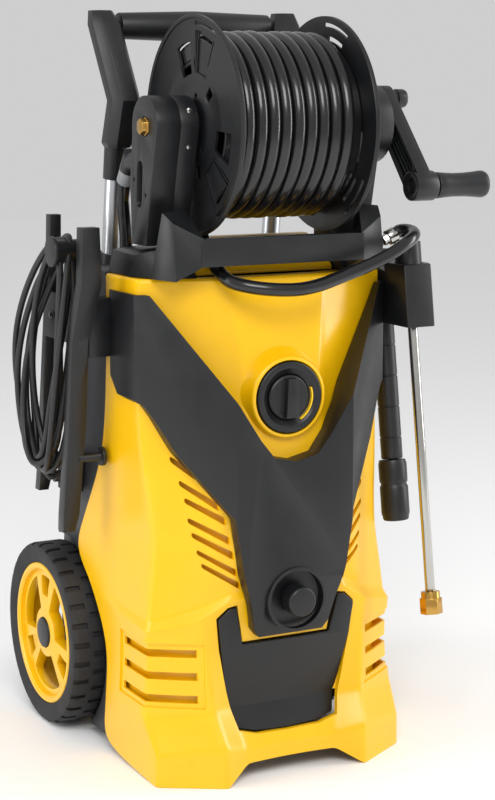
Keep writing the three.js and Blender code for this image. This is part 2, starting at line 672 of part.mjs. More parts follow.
function handleArm() {
  const rings = ARM_STATIONS.map((station, i) => armRing(station, i === ARM_STATIONS.length - 1 ? 0.72 : 1));
  const foot = armRing([698, TUBE_X, 34], 0.8);
  const collar = between(tubePoint(1, TUBE_TOP_Z + 1), tubePoint(1, 712), TUBE_RADIUS + 2.5);
  const socket = between(tubePoint(1, TUBE_TOP_Z - 20), tubePoint(1, 700), TUBE_RADIUS + GAP);
  return cut(join(loft([foot, ...rings]), collar), socket);
}

add("handle_arm_right", handleArm(), BLACK, handle);
add("handle_arm_left", mirrored(handleArm()), BLACK, handle);
const GRIP_HALF = ARM_TOP_X - ARM_HALF[0] - 2.5;
const barrelProfile = [
  [0, -GRIP_HALF], [GRIP_RADIUS - 1, -GRIP_HALF], [GRIP_RADIUS, -GRIP_HALF * 0.6], [GRIP_RADIUS + 2, 0],
  [GRIP_RADIUS, GRIP_HALF * 0.6], [GRIP_RADIUS - 1, GRIP_HALF], [0, GRIP_HALF],
];
add("handle_grip", turned("x", barrelProfile, [0, GRIP_Y - 3, GRIP_Z], 24), BLACK, handle);
for (const [side, word] of [[-1, "left"], [1, "right"]]) {
  const tubeSolid = between(
    tubePoint(side, TUBE_BOTTOM_Z), tubePoint(side, 695), TUBE_RADIUS, TUBE_RADIUS - 1.5, 28,
  );
  add("handle_tube_" + word, tubeSolid, ALUMINIUM, handle);
  const guide = between(
    tubePoint(side, 300), tubePoint(side, 575), TUBE_RADIUS + 3.5, TUBE_RADIUS + GAP, 28,
  );
  add("handle_guide_" + word, guide, BLACK);
}

// ---- switch, dosing knob and detergent tank ----
add(
  "switch_bezel",
  turned(
    "y",
    [
      [7, 18], [BEZEL_RADIUS, 18], [BEZEL_RADIUS, 1], [BEZEL_RADIUS - 1.5, 0], [BEZEL_RADIUS - 7, 0],
      [BEZEL_RADIUS - 11, 4], [KNOB_RADIUS + 1, 5], [KNOB_RADIUS + 1, 8], [7, 8], [7, 18],
    ].reverse(),
    [0, SWITCH_FACE_Y, SWITCH_Z],
    36,
  ),
  BLACK,
);

function switchKnob() {
  const [y, z] = [SWITCH_FACE_Y, SWITCH_Z];
  const disc = turned(
    "y", [[0, 7.5], [KNOB_RADIUS, 7.5], [KNOB_RADIUS, 3], [KNOB_RADIUS - 2, 1.5], [0, 1.5]].reverse(),
    [0, y, z],
  );
  const ridge = prism("y", [[-8, z - 22], [8, z - 22], [5.5, z + 22], [-5.5, z + 22]], y - 7, y + 3);
  const stem = rod("y", 6, 4, 30, [0, y, z], 20);
  return join(disc, ridge, stem);
}
add("switch_knob", switchKnob(), BLACK);
add("switch_box", box(-30, 30, -156, -112, SWITCH_Z - 34, SWITCH_Z + 34), GREY);

function dosingKnob() {
  const cap = turned(
    "y",
    [[0, -222], [DOSING_RADIUS - 2, -222], [DOSING_RADIUS, -220], [DOSING_RADIUS, -200], [0, -200]],
    [0, 0, DOSING_Z],
    28,
  );
  return join(cap, rod("y", 5, -201, -172, [0, 0, DOSING_Z], 20));
}
add("dosing_knob", dosingKnob(), BLACK);

function tank() {
  const side = [
    [-187, 205], [-182, 150], [-175, 109], [-171, 79], [-184, 45], [-174, 45], [-162, 79], [-164, 150],
    [-174, 205],
  ];
  const cover = overlap(prism("y", bothSides(TANK_OUTLINE), -195, -150), prism("x", side, -100, 100));
  const vessel = box(-52, 52, -168, -100, 66, 148);
  return join(cover, vessel);
}
add("detergent_tank", tank(), BLACK);

// ---- motor and pump unit, standing upright on the base plate ----
const BASE_TOP = 48;
function basePlate() {
  const plate = box(-128, 128, -92, 150, BASE_TOP - 8, BASE_TOP);
  const ears = box(-149, 149, -90, -36, BASE_TOP - 8, BASE_TOP);
  const lugs = [-1, 1].map((side) => {
    const xs = side > 0 ? [112, 128] : [-128, -112];
    return box(...xs, WHEEL_Y - 14, WHEEL_Y + 14, BASE_TOP - 1, WHEEL_RADIUS + 14);
  });
  return cut(
    join(plate, ears, ...lugs), rod("x", AXLE_RADIUS + GAP, -150, 150, [0, WHEEL_Y, WHEEL_RADIUS], 20),
  );
}
add("base_plate", basePlate(), GREY);

const AT_MOTOR = [0, MOTOR_Y, 0];
const HEAD_Z = [BASE_TOP + GAP, 84];
const PUMP_Z = [HEAD_Z[1] + GAP, 150];
const WOBBLE_Z = 164;
const STATOR_Z = [196, 300];
const PISTON_CIRCLE = 24;
const pistonSpots = [0, 1, 2].map((i) => {
  const turn = (90 + 120 * i) * (Math.PI / 180);
  return [PISTON_CIRCLE * Math.cos(turn), MOTOR_Y + PISTON_CIRCLE * Math.sin(turn)];
});

add("pump_head", join(rod("z", 52, ...HEAD_Z, AT_MOTOR, 32), rod("y", 11, 40, 82, [0, 30, 66], 20)), BRASS);
function pumpBody() {
  const outer = join(
    rod("z", 54, ...PUMP_Z, AT_MOTOR, 32),
    pipe("z", 46, 54, PUMP_Z[1] - 1, STATOR_Z[0] - 14, AT_MOTOR, 32),
  );
  const bores = pistonSpots.map(([x, y]) => rod("z", PISTON_RADIUS + GAP, 96, 200, [x, y, 0], 20));
  const shaftHole = rod("z", 9, 120, 200, AT_MOTOR);
  return cut(outer, ...bores, shaftHole);
}
add("pump_body", pumpBody(), CAST);
const WOBBLE_TILT = 5;
pistonSpots.forEach(([x, y], i) => {
  add("piston_" + (i + 1), rod("z", PISTON_RADIUS, 104, WOBBLE_Z - 7.6, [x, y, 0], 20), STEEL);
});
const rotor = new THREE.Group();
machine.add(rotor);
function wobblePlate() {
  const plate = rod("z", 36, 0, 9, [0, 0, 0], 28);
  plate.rotateX((WOBBLE_TILT * Math.PI) / 180).translate(0, MOTOR_Y, WOBBLE_Z - 4);
  return cut(
    join(plate, rod("z", 15, WOBBLE_Z, WOBBLE_Z + 14, AT_MOTOR)), rod("z", 8 + GAP, 100, 200, AT_MOTOR),
  );
}
add("wobble_plate", wobblePlate(), STEEL, rotor);
add(
  "rotor_shaft", join(rod("z", 8, 130, 352, AT_MOTOR), rod("z", 36, 204, 292, AT_MOTOR, 28)), STEEL,
  rotor,
);
function fan() {
  const disc = pipe("z", 8 + GAP, 46, 336, 339, AT_MOTOR, 32);
  const hub = pipe("z", 8 + GAP, 14, 330, 350, AT_MOTOR, 24);
  const blades = Array.from({ length: 8 }, (_, i) => {
    return box(12, 45, -1.5, 1.5, 338, 350).rotateZ((i * Math.PI) / 4).translate(0, MOTOR_Y, 0);
  });
  return join(disc, hub, ...blades);
}
add("motor_fan", fan(), BLACK, rotor);
add(
  "motor_stator",
  cut(rod("z", MOTOR_RADIUS, ...STATOR_Z, AT_MOTOR, 36), rod("z", 38, 180, 310, AT_MOTOR, 28)), CAST,
);
add(
  "motor_end_bell",
  turned(
    "z", [[9, 300.3], [MOTOR_RADIUS, 300.3], [MOTOR_RADIUS, 308], [40, 324], [9, 324], [9, 300.3]],
    AT_MOTOR, 36,
  ),
  CAST,
);

// ---- water connections ----
add(
  "water_inlet",
  turned(
    "y",
    [[0, 108], [9, 108], [9, 130], [14, 130], [14, 146], [11, 146], [11, 168], [7, 168], [7, 120], [0, 120]],
    [60, 0, 300], 20,
  ),
  BRASS,
);
// The hose that feeds the reel: from the pump head up through the deck to the nut on the bracket.
const FEED_ROUTE = [
  [-56.5, 40, 66], [-80, 44, 66], [-108, 30, 84], [-120, 4, 130], [-120, -14, 200], [-120, -20, 300],
  [-120, -20, 450],
  [-120, -20, 560], [-120, -19, 600], [-121, -15, 630], [-123, -18, 650], [-124, -26, 661],
];
add("feed_hose", tube(FEED_ROUTE, HOSE_DIAMETER / 2, 8, 28), HOSE);

// ---- cord hook on the left side ----
const SADDLE_TIP_X = -220; // the outer end of the saddle that the hank hangs on
// Blades in the (y, z) plane, each bending outwards at its ends like a cleat.
function hookBlade(stations, depth) {
  return loft(
    stations.map(([z, x, y, width]) => {
      const near = x + width / 2;
      const far = x - width / 2;
      return [
        [near, y - depth / 2, z], [near, y + depth / 2, z], [far, y + depth / 2, z],
        [far, y - depth / 2, z],
      ];
    }),
  );
}

function cordHook() {
  const front = hookBlade(
    [
      [265, -198, -18, 14], [285, -196, -21, 19], [394, -193, -37, 20], [486, -193, -47, 20],
      [556, -193, -83, 24], [617, -193, -83, 20],
    ],
    17,
  );
  const rear = hookBlade(
    [
      [286, -176, 115, 12], [300, -175, 111, 14], [400, -174, 96, 14], [560, -174, 70, 14],
      [622, -177, 59, 13],
    ],
    14,
  );
  const block = box(-183.7, -158.5, -60, -38, 470, 536);
  const plate = box(-182, -174, -52, 84, 478, 532);
  const peg = join(
    rod("x", 5, -190, -160, [0, -36, 352], 16), rod("x", 11, -163, -158.6, [0, -36, 352], 24),
  );
  const saddle = rod("x", 13, -217, -174, [0, -38, 588], 20);
  const saddleLip = rod("x", 17, SADDLE_TIP_X, SADDLE_TIP_X + 4, [0, -38, 588], 20);
  const saddleStem = box(-182, -174, -48, -28, 530, 588);
  return join(front, rear, block, plate, peg, saddle, saddleLip, saddleStem);
}
add("cord_hook", cordHook(), BLACK);

// ---- lance holder and the two lances on the right side ----
function lancePoint(topY, z) {
  return [LANCE_X, topY + (z - LANCE_REF_Z) * -LANCE_LEAN, z];
}
const SLEEVE_RADIUS = 15.5;
const VARIO_RADIUS = 13;
function lanceHolder() {
  const outline = [
    [160, -60], [176, -60], [202, -72], [202, -128], [194, -132], [202, -136], [202, -160], [196, -172],
    [160, -172],
  ];
  const body = loft([496, 567].map((z) => outline.map(([x, y]) => [x, y + (z - 530) * 0.15, z]).reverse()));
  const sleeveHole = between(lancePoint(LANCE_TOP_Y, 480), lancePoint(LANCE_TOP_Y, 600), SLEEVE_RADIUS + 1);
  const varioHole = between(lancePoint(VARIO_TOP_Y, 480), lancePoint(VARIO_TOP_Y, 600), VARIO_RADIUS + 1);
  return cut(body, sleeveHole, varioHole);
}
add("lance_holder", lanceHolder(), BLACK);
const lance = new THREE.Group();
const vario = new THREE.Group();
machine.add(lance, vario);
const onLance = (z) => lancePoint(LANCE_TOP_Y, z);
const onVario = (z) => lancePoint(VARIO_TOP_Y, z);
add(
  "lance_sleeve", between(onLance(500), onLance(591), SLEEVE_RADIUS, LANCE_RADIUS + GAP, 28), BLACK,
  lance,
);
add("lance_tube", between(onLance(190), onLance(597), LANCE_RADIUS, 3.5, 20), STEEL, lance);
add(
  "lance_coupler",
  join(between(onLance(164), onLance(182), 13, 0, 6), between(onLance(181), onLance(189.6), 11, 0, 24)),
  BRASS, lance,
);
add("vario_lance", between(onVario(331), onVario(578), VARIO_RADIUS, 0, 24), BLACK, vario);
add("vario_nozzle", between(onVario(258), onVario(330.6), 17, 5, 24), BLACK);

// ---- feet ----
for (const [side, word] of [[-1, "left"], [1, "right"]]) {
  const outline = [[95, -199], [149, -167], [149, -150], [95, -150]].map(([x, y]) => [side * x, y]);
  add("foot_pad_" + word, prism("z", side > 0 ? outline : outline.reverse(), 0, 12), RUBBER);
}

// ---- mains lead: a hank hung over the hook's saddle, its strain relief and its plug ----
const HANK_X = [-215, -184.5]; // from its outer to its inner side
const HANK_OUTER = [
  [-68, 600], [-62, 622], [-48, 630], [-16, 616], [49, 580], [102, 528], [138, 485], [148, 440],
  [138, 390], [113, 337],
  [85, 308], [53, 297], [12, 304], [-8, 335], [-25, 390], [-32, 480], [-60, 560],
];
const HANK_INNER = [
  [-54.5, 592], [-40, 552], [-10, 480], [-3, 392], [16, 338], [48, 331], [76, 342], [102, 388],
  [112, 438], [104, 470],
  [76, 512], [30, 562], [-10, 594], [-30, 604], [-44, 604],
];
add("mains_hank", prism("x", HANK_OUTER, ...HANK_X, [HANK_INNER]), RUBBER, cordGroup);
machine.add(cordGroup);

const GLAND_AT = [88, 328]; // (y, z) on the left side of the rear shell
function strainRelief() {
  const profile = [
    [0, -151.3], [9, -151.3], [9, -155], [7, -157], [CORD_DIAMETER / 2 + 1, HANK_X[1] + GAP],
    [0, HANK_X[1] + GAP],
  ];
  return turned("x", profile.reverse(), [0, ...GLAND_AT], 16);
}
add("strain_relief", strainRelief(), BLACK);

function plug() {
  const body = box(-172, -154, 36, 72, 296, 340);
  const collar = rod("x", 7, HANK_X[1] + GAP, -171, [0, 54, 314], 16);
  const pins = [45, 63].map((y) => rod("z", 2.4, 277, 297, [-163, y, 0], 12));
  return join(body, collar, ...pins);
}
add("mains_plug", plug(), BLACK, cordGroup);

// ---- the free end of the reel's hose, hung below the bar and screwed to the frame ----
const TAIL_ROUTE = [
  [-68, -59.5, 649.7], [-68.5, -85, 630], [-70, -112, 606.5], [-71, -136, 585], [-70, -155.5, 569.5],
  [-66, -172, 560.5],
  [-54, -187, 556], [-32, -198, 552.5], [0, -203, 551], [30, -200, 554], [62, -196, 562],
  [98, -195, 573], [126, -195, 584.5],
  [145, -192, 594], [158, -186, 600], [167, -175, 604], [168, -162, 606], [162.4, -153, 605.3],
  [157.2, -152.2, 602.6],
];
const TAIL_STEPS = 32;
function hoseTail() {
  const drum = rod("x", COIL_RADIUS + GAP, -77, 77, [0, REEL_Y, REEL_Z], 80);
  return cut(tube(TAIL_ROUTE, HOSE_DIAMETER / 2, 10, TAIL_STEPS), drum);
}
add("hose_tail", hoseTail(), HOSE, cordGroup);
function hoseFitting() {
  const sleeve = between([156.4, -152.1, 602.2], [147, -151.2, 597.3], 9, 0, 20);
  const nut = between([148, -151.3, 597.8], [141, -151, 594.2], 6.5, 0, 6);
  return join(sleeve, nut);
}
add("hose_fitting", hoseFitting(), STEEL, cordGroup);

// The origin is the middle of the footprint of the machine without its cords, on the floor.
const leftmost = SADDLE_TIP_X;
const rightmost = CRANK_GRIP_END_X;
const foremost = REEL_Y - FLANGE_RADIUS;
const rearmost = WHEEL_Y + WHEEL_RADIUS;
machine.position.set(-(leftmost + rightmost) / 2, -(foremost + rearmost) / 2, 0);

export default machine;
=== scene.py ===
"""Visual model of an upright pressure washer with a hose reel, over its CAD frame."""

import math

import bmesh
import bpy
import numpy as np
from mathutils import Matrix, Vector


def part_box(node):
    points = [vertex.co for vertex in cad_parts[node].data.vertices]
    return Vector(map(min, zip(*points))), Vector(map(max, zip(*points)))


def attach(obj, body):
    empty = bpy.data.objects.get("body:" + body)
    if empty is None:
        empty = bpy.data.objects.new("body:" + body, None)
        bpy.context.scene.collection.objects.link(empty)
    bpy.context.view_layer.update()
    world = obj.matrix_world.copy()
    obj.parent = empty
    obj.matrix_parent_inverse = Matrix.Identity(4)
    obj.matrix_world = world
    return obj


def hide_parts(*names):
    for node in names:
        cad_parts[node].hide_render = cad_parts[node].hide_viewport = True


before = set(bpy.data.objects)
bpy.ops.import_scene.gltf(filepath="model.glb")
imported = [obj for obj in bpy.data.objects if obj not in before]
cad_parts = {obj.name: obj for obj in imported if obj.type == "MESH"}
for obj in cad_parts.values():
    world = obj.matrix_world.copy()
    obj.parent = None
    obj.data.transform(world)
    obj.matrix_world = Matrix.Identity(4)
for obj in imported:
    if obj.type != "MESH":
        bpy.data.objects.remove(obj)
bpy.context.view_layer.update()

# The machine is drawn in millimetres about its own symmetry plane; at() takes that to the row frame.
# The symmetry plane is the middle of the front shell, and the axle sits 101.5 mm behind the origin.
SHELL_LOW, SHELL_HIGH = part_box("front_shell")
TYRE_LOW, TYRE_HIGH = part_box("tyre_left")
MIDDLE = np.array([(SHELL_LOW[0] + SHELL_HIGH[0]) / 2, (TYRE_LOW[1] + TYRE_HIGH[1]) / 2 - 0.1015, 0.0])


def at(x, y, z):
    """A point of the machine in millimetres, as metres in the row frame."""
    return MIDDLE + np.array([x, y, z]) / 1000


# ---- camera, floor and studio light ----
# A long lens low on the front left, a pale sweep of floor, one large soft key and two fills.
CAMERA_AT = at(-985.3, -1987.4, 776.9)
camera_data = bpy.data.cameras.new("camera")
camera_data.lens = 84.909
camera_data.shift_x = -0.00884
camera_data.shift_y = -0.0153
camera = bpy.data.objects.new("camera", camera_data)
camera.location = CAMERA_AT
camera.rotation_euler = (math.radians(90 - 9.306), 0, math.radians(-27.627))
bpy.context.scene.collection.objects.link(camera)
bpy.context.scene.camera = camera


def linear(code):
    """A hex sRGB colour as linear RGBA."""
    values = [int(code[i : i + 2], 16) / 255 for i in (0, 2, 4)]
    return [v / 12.92 if v <= 0.04045 else ((v + 0.055) / 1.055) ** 2.4 for v in values] + [1.0]


def node(material, kind, settings=None, **links):
    """Adds a shader node. Settings are its properties; links are input values or other nodes' outputs."""
    made = material.node_tree.nodes.new(kind)
    for key, value in (settings or {}).items():
        setattr(made, key, value)
    for key, value in links.items():
        socket = made.inputs[int(key[1:])] if key[0] == "i" and key[1:].isdigit() else made.inputs[key.replace("_", " ")]
        if isinstance(value, bpy.types.NodeSocket):
            material.node_tree.links.new(value, socket)
        else:
            socket.default_value = value
    return made


def new_material(name):
    """An empty node material and its output node."""
    material = bpy.data.materials.new(name)
    material.use_nodes = True
    material.node_tree.nodes.clear()
    output = material.node_tree.nodes.new("ShaderNodeOutputMaterial")
    return material, output


def plain(name, colour, rough, metal=0.0, grain=0.0, grain_mm=0.6, coat=0.0, mottling=0.04):
    """A solid material: slight tone and gloss changes over some centimetres, and a fine moulded grain."""
    material, output = new_material(name)
    place = node(material, "ShaderNodeTexCoord").outputs["Object"]
    cloud = node(material, "ShaderNodeTexNoise", Vector=place, Scale=35.0, Detail=3.0).outputs[0]
    tone = node(
        material, "ShaderNodeMapRange", Value=cloud, From_Min=0.3, From_Max=0.7, To_Min=1 - mottling,
            To_Max=1 + mottling
    ).outputs[0]
    tint = node(
        material, "ShaderNodeHueSaturation", Value=tone, Color=linear(colour)
    ).outputs[0]
    gloss = node(
        material, "ShaderNodeMapRange", Value=cloud, From_Min=0.3, From_Max=0.7, To_Min=rough * 0.9,
            To_Max=rough * 1.12
    ).outputs[0]
    shader = node(
        material, "ShaderNodeBsdfPrincipled", Base_Color=tint, Roughness=gloss, Metallic=metal,
            Coat_Weight=coat,
        Coat_Roughness=0.15,
    )
    if grain > 0:
        fine = node(material, "ShaderNodeTexNoise", Vector=place, Scale=1000 / grain_mm, Detail=2.0).outputs[0]
        bump = node(material, "ShaderNodeBump", Strength=grain, Distance=0.0002, Height=fine).outputs[0]
        material.node_tree.links.new(bump, shader.inputs["Normal"])
    material.node_tree.links.new(shader.outputs[0], output.inputs[0])
    return material


floor_material, floor_output = new_material("floor")
floor_shader = node(floor_material, "ShaderNodeBsdfPrincipled", Base_Color=linear("FFFFFF"), Roughness=0.7)
floor_material.node_tree.links.new(floor_shader.outputs[0], floor_output.inputs[0])
floor_mesh = bpy.data.meshes.new("floor")
floor_mesh.from_pydata([(-8, -8, 0), (8, -8, 0), (8, 8, 0), (-8, 8, 0)], [], [(0, 1, 2, 3)])
floor_mesh.materials.append(floor_material)
floor = bpy.data.objects.new("floor", floor_mesh)
bpy.context.scene.collection.objects.link(floor)

bpy.context.scene.view_settings.view_transform = "Standard"
world = bpy.data.worlds.new("studio")
world.use_nodes = True
world.node_tree.nodes["Background"].inputs[0].default_value = (1.0, 1.0, 1.0, 1.0)
world.node_tree.nodes["Background"].inputs[1].default_value = 0.62
bpy.context.scene.world = world


def area_light(name, place, target, width, height, power):
    """A soft rectangular lamp at place that points at target, in metres."""
    data = bpy.data.lights.new(name, "AREA")
    data.shape = "RECTANGLE"
    data.size = width
    data.size_y = height
    data.energy = power
    lamp = bpy.data.objects.new(name, data)
    lamp.location = place
    lamp.rotation_euler = (Vector(target) - Vector(place)).to_track_quat("-Z", "Y").to_euler()
    bpy.context.scene.collection.objects.link(lamp)
    return lamp


lamps = [
    area_light("key", (-0.9, -2.2, 2.3), (0, 0, 0.4), 1.6, 1.2, 44),
    area_light("left_fill", (-2.4, 0.3, 1.2), (0, 0, 0.4), 1.2, 1.8, 24),
    area_light("right_strip", (2.2, -0.9, 1.1), (0, 0, 0.5), 0.5, 1.8, 22),
]

# ---- hose and mains lead ----
# The cords come first: the lead's hank of six loops over the hook, and the free end of the reel's hose.
hose_black = plain("hose_gloss_black", "121214", 0.22, coat=0.25, mottling=0.1)
lead_black = plain("lead_rubber", "1B1B1D", 0.42, grain=0.15, grain_mm=0.5)


def add_mesh(name, vertices, faces, material, smooth=True):
    """A mesh object from points in metres and a list of faces."""
    mesh = bpy.data.meshes.new(name)
    mesh.from_pydata([tuple(v) for v in vertices], [], [tuple(f) for f in faces])
    mesh.validate()
    mesh.update()
    if smooth:
        mesh.shade_smooth()
    mesh.materials.append(material)
    piece = bpy.data.objects.new(name, mesh)
    bpy.context.scene.collection.objects.link(piece)
    return piece


def smooth_line(points, per_span):
    """A centripetal curve through the points, with per_span steps between each two."""
    p = np.array(points, float)
    p = np.vstack([2 * p[0] - p[1], p, 2 * p[-1] - p[-2]])
    line = []
    for i in range(1, len(p) - 2):
        knots = [0.0]
        for a, b in ((i - 1, i), (i, i + 1), (i + 1, i + 2)):
            knots.append(knots[-1] + max(np.linalg.norm(p[b] - p[a]), 1e-6) ** 0.5)
        t0, t1, t2, t3 = knots
        for t in np.linspace(t1, t2, per_span, endpoint=False):
            a1 = (t1 - t) / (t1 - t0) * p[i - 1] + (t - t0) / (t1 - t0) * p[i]
            a2 = (t2 - t) / (t2 - t1) * p[i] + (t - t1) / (t2 - t1) * p[i + 1]
            a3 = (t3 - t) / (t3 - t2) * p[i + 1] + (t - t2) / (t3 - t2) * p[i + 2]
            b1 = (t2 - t) / (t2 - t0) * a1 + (t - t0) / (t2 - t0) * a2
            b2 = (t3 - t) / (t3 - t1) * a2 + (t - t1) / (t3 - t1) * a3
            line.append((t2 - t) / (t2 - t1) * b1 + (t - t1) / (t2 - t1) * b2)
    line.append(p[-2])
    return np.array(line)


def cord_curve(name, line_mm, diameter_mm, material):
    """A round cord as a curve with a round bevel, along a line in machine millimetres."""
    curve = bpy.data.curves.new(name, "CURVE")
    curve.dimensions = "3D"
    curve.bevel_depth = diameter_mm / 2000
    curve.bevel_resolution = 4
    curve.use_fill_caps = True
    spline = curve.splines.new("POLY")
    spline.points.add(len(line_mm) - 1)
    placed = line_mm / 1000 + MIDDLE
    spline.points.foreach_set("co", np.column_stack([placed, np.ones(len(placed))]).ravel())
    spline.use_smooth = True
    curve.materials.append(material)
    piece = bpy.data.objects.new(name, curve)
    bpy.context.scene.collection.objects.link(piece)
    return piece


HOSE_MM = 15.0
TAIL_ROUTE = [
    (-68, -59.5, 649.7), (-68.5, -85, 630), (-70, -112, 606.5), (-71, -136, 585), (-70, -155.5, 569.5),
        (-66, -172, 560.5),
    (-54, -187, 556), (-32, -198, 552.5), (0, -203, 551), (30, -200, 554), (62, -196, 562), (98, -195, 573),
    (126, -195, 584.5), (145, -192, 594), (158, -186, 600), (167, -175, 604), (168, -162, 606),
        (162.4, -153, 605.3),
    (157.2, -152.2, 602.6),
]
tail_line = smooth_line(TAIL_ROUTE, 10)
hose_tail = cord_curve("hose_tail_visual", tail_line, HOSE_MM, hose_black)
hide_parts("hose_tail")
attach(hose_tail, "chassis")

LEAD_MM = 7.5
LOOPS = 6
# The loop's outline in (y, z), from its top over the back to the bottom and up the front.
LOOP_OUTER = [
    (-50, 622), (-16, 609), (49, 571), (97, 521), (131, 480), (141, 440), (131, 392), (107, 342), (82, 315),
        (50, 304),
    (14, 311), (0, 338), (-17, 390), (-24, 480), (-52, 560), (-61, 602),
]
LOOP_INNER = [
    (-38, 608), (-18, 602), (18, 566), (52, 512), (74, 468), (80, 438), (78, 400), (68, 366), (56, 344),
        (40, 338),
    (26, 344), (14, 366), (6, 400), (2, 470), (-30, 556), (-50, 598),
]


LOOP_STEPS = 6
HANK_CLEARANCE = 8.6
HANK_X = -199.5
HANK_X_LIMITS = (-211, -188.6)
LEAD_EXIT = (-184.2, 88, 328)


def hank_line():
    """Six loops between the outer and inner outlines, pushed apart until no two runs touch."""
    outer = smooth_line(LOOP_OUTER + LOOP_OUTER[:1], LOOP_STEPS)[:-1]
    inner = smooth_line(LOOP_INNER + LOOP_INNER[:1], LOOP_STEPS)[:-1]
    count = len(outer)
    start = count // 2
    steps = LOOPS * count - LOOP_STEPS // 2
    k = np.arange(steps)
    turn = k / count
    inward = 0.5 + 0.42 * np.sin(2.1 * np.floor(turn) + 1.3 + 0.9 * np.sin(2 * math.pi * turn / LOOPS * 2))
    reach = count // 3
    window = np.ones(2 * reach + 1) / (2 * reach + 1)
    inward = np.convolve(np.pad(inward, reach, mode="edge"), window, "valid")
    which = (start + k) % count
    yz = outer[which] * (1 - inward[:, None]) + inner[which] * inward[:, None]
    x = HANK_X + 10.5 * np.sin(2 * math.pi * turn * (1 + 1 / LOOPS) + 0.7)
    line = np.column_stack([x, yz])
    lead_in = smooth_line([LEAD_EXIT, (-190, 86, 327), (-196, 78, 322)], 4)
    lead_out = smooth_line([(-197, 60, 312), (-190, 55, 313.5), (-184.2, 54, 314)], 4)
    line = np.vstack([lead_in, line[3:-2], lead_out])
    for _ in range(260):
        gap = line[:, None, :] - line[None, :, :]
        distance = np.linalg.norm(gap, axis=2) + np.eye(len(line)) * 99
        order = np.arange(len(line))
        apart = np.abs(np.subtract.outer(order, order)) > 7
        close = np.where(apart, np.clip(HANK_CLEARANCE - distance, 0, None), 0)
        line = line + 0.35 * (gap / distance[:, :, None] * close[:, :, None]).sum(axis=1) / 2
        smoothed = line.copy()
        smoothed[1:-1] = 0.5 * line[1:-1] + 0.25 * (line[:-2] + line[2:])
        smoothed[:4], smoothed[-4:] = lead_in[:4], lead_out[-4:]
        line = 0.55 * line + 0.45 * smoothed
        line[4:-4, 0] = np.clip(line[4:-4, 0], *HANK_X_LIMITS)
    return line


hank = smooth_line(hank_line(), 2)
mains_lead = cord_curve("mains_lead_visual", hank, LEAD_MM, lead_black)
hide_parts("mains_hank")
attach(mains_lead, "chassis")

# ---- yellow front shell ----
# A control cage of the right half, row by row from the floor up, subdivided with creased ridges, then cut by the vents.
shell_yellow = plain("moulded_yellow", "F7BE00", 0.32, grain=0.06, grain_mm=0.5, coat=0.12, mottling=0.015)
# Each row: rear edge, side middle, side corner, front middle, front crease, inner crease, centre.
SHELL_ROWS = [
    [(157, -26, 9), (157, -100, 3), (157.3, -170, 0.5), (122, -190.5, 0.3), (87.5, -211, 0.2),
        (56, -197, 20), (0, -190, 19)],
    [(158, -28, 35), (159, -100, 35), (157, -170, 35), (122, -190.5, 40), (87.9, -210.6, 44.7),
        (57, -196.5, 36), (0, -190, 38)],
    [(160, -38, 75), (161, -90, 75), (161.4, -142.7, 74.6), (128, -168, 78), (93.9, -189.6, 82.9),
        (64, -176, 80), (0, -170, 79)],
    [(158, -41, 120), (158, -92, 120), (156.5, -143, 120), (127, -166, 120), (97, -185, 120),
        (74, -176, 120), (0, -174, 120)],
    [(158, -20, 160), (157.5, -84, 160), (157, -145, 163), (129, -163, 170), (104, -178, 178),
        (80, -180, 190), (0, -183, 190)],
    [(158, 4, 186), (157, -80, 176), (157, -147, 172), (130, -164, 179), (105, -178, 187), (72, -187, 207),
        (0, -188, 208)],
    [(158, 16, 198), (154.5, -78, 186), (152.5, -142.5, 182), (126, -159, 190), (101, -171, 199),
        (70, -184, 216), (0, -188, 216)],
    [(158, 55, 226), (152, -60, 226), (147.5, -140.5, 226), (118, -159, 233), (90, -176, 240),
        (68, -187, 244), (0, -188, 244)],
    [(157, 33, 262), (149, -60, 262), (142.3, -138, 263), (110, -161, 266), (82, -181, 270),
        (60, -189, 272), (0, -189, 272)],
    [(156, 8, 300), (149, -64, 300), (143.5, -134, 300), (110, -158, 302), (80, -182, 306), (55, -188, 308),
        (0, -188, 308)],
    [(155, -24, 351), (151, -75, 351), (149.5, -126, 351), (113, -150, 352), (80, -172, 355),
        (48, -182, 358), (0, -184, 358)],
    [(156, -36, 400), (153.5, -78, 400), (152, -119.5, 400), (112, -141, 402), (66, -163, 406),
        (46, -176, 410), (0, -178, 412)],
    [(156, -41, 450), (154, -80, 450), (152.5, -120, 450), (105, -143, 452), (60, -163, 456),
        (46, -169.6, 462), (0, -170, 465)],
    [(156, -43, 520), (155, -82, 520), (153, -122, 520), (108, -141, 520), (64, -156, 520),
        (56, -159.5, 520), (0, -160, 520)],
    [(156, -43, 558.5), (155, -82, 558.5), (153, -122, 558.5), (110, -138, 558.5), (66, -151.6, 558.5),
        (59, -153.6, 558.5), (0, -154, 558.5)],
    [(154, -43, 561.6), (153, -82, 561.6), (151, -120.5, 561.6), (109, -136, 561.6), (65, -149, 561.6),
        (58, -151, 561.6), (0, -152, 561.6)],
    [(140, -43, 561.6), (139, -82, 561.6), (137, -110, 561.6), (103, -122, 561.6), (63, -133, 561.6),
        (57, -134, 561.6), (0, -135, 561.6)],
]
SHARP_ROWS = {1: 0.75, 2: 0.85, 5: 0.95, 6: 0.8, 14: 0.9, 15: 0.9}
SHARP_COLUMNS = {2: 0.86, 4: 0.8, 5: 0.55, 8: 0.86, 10: 0.8, 7: 0.55}


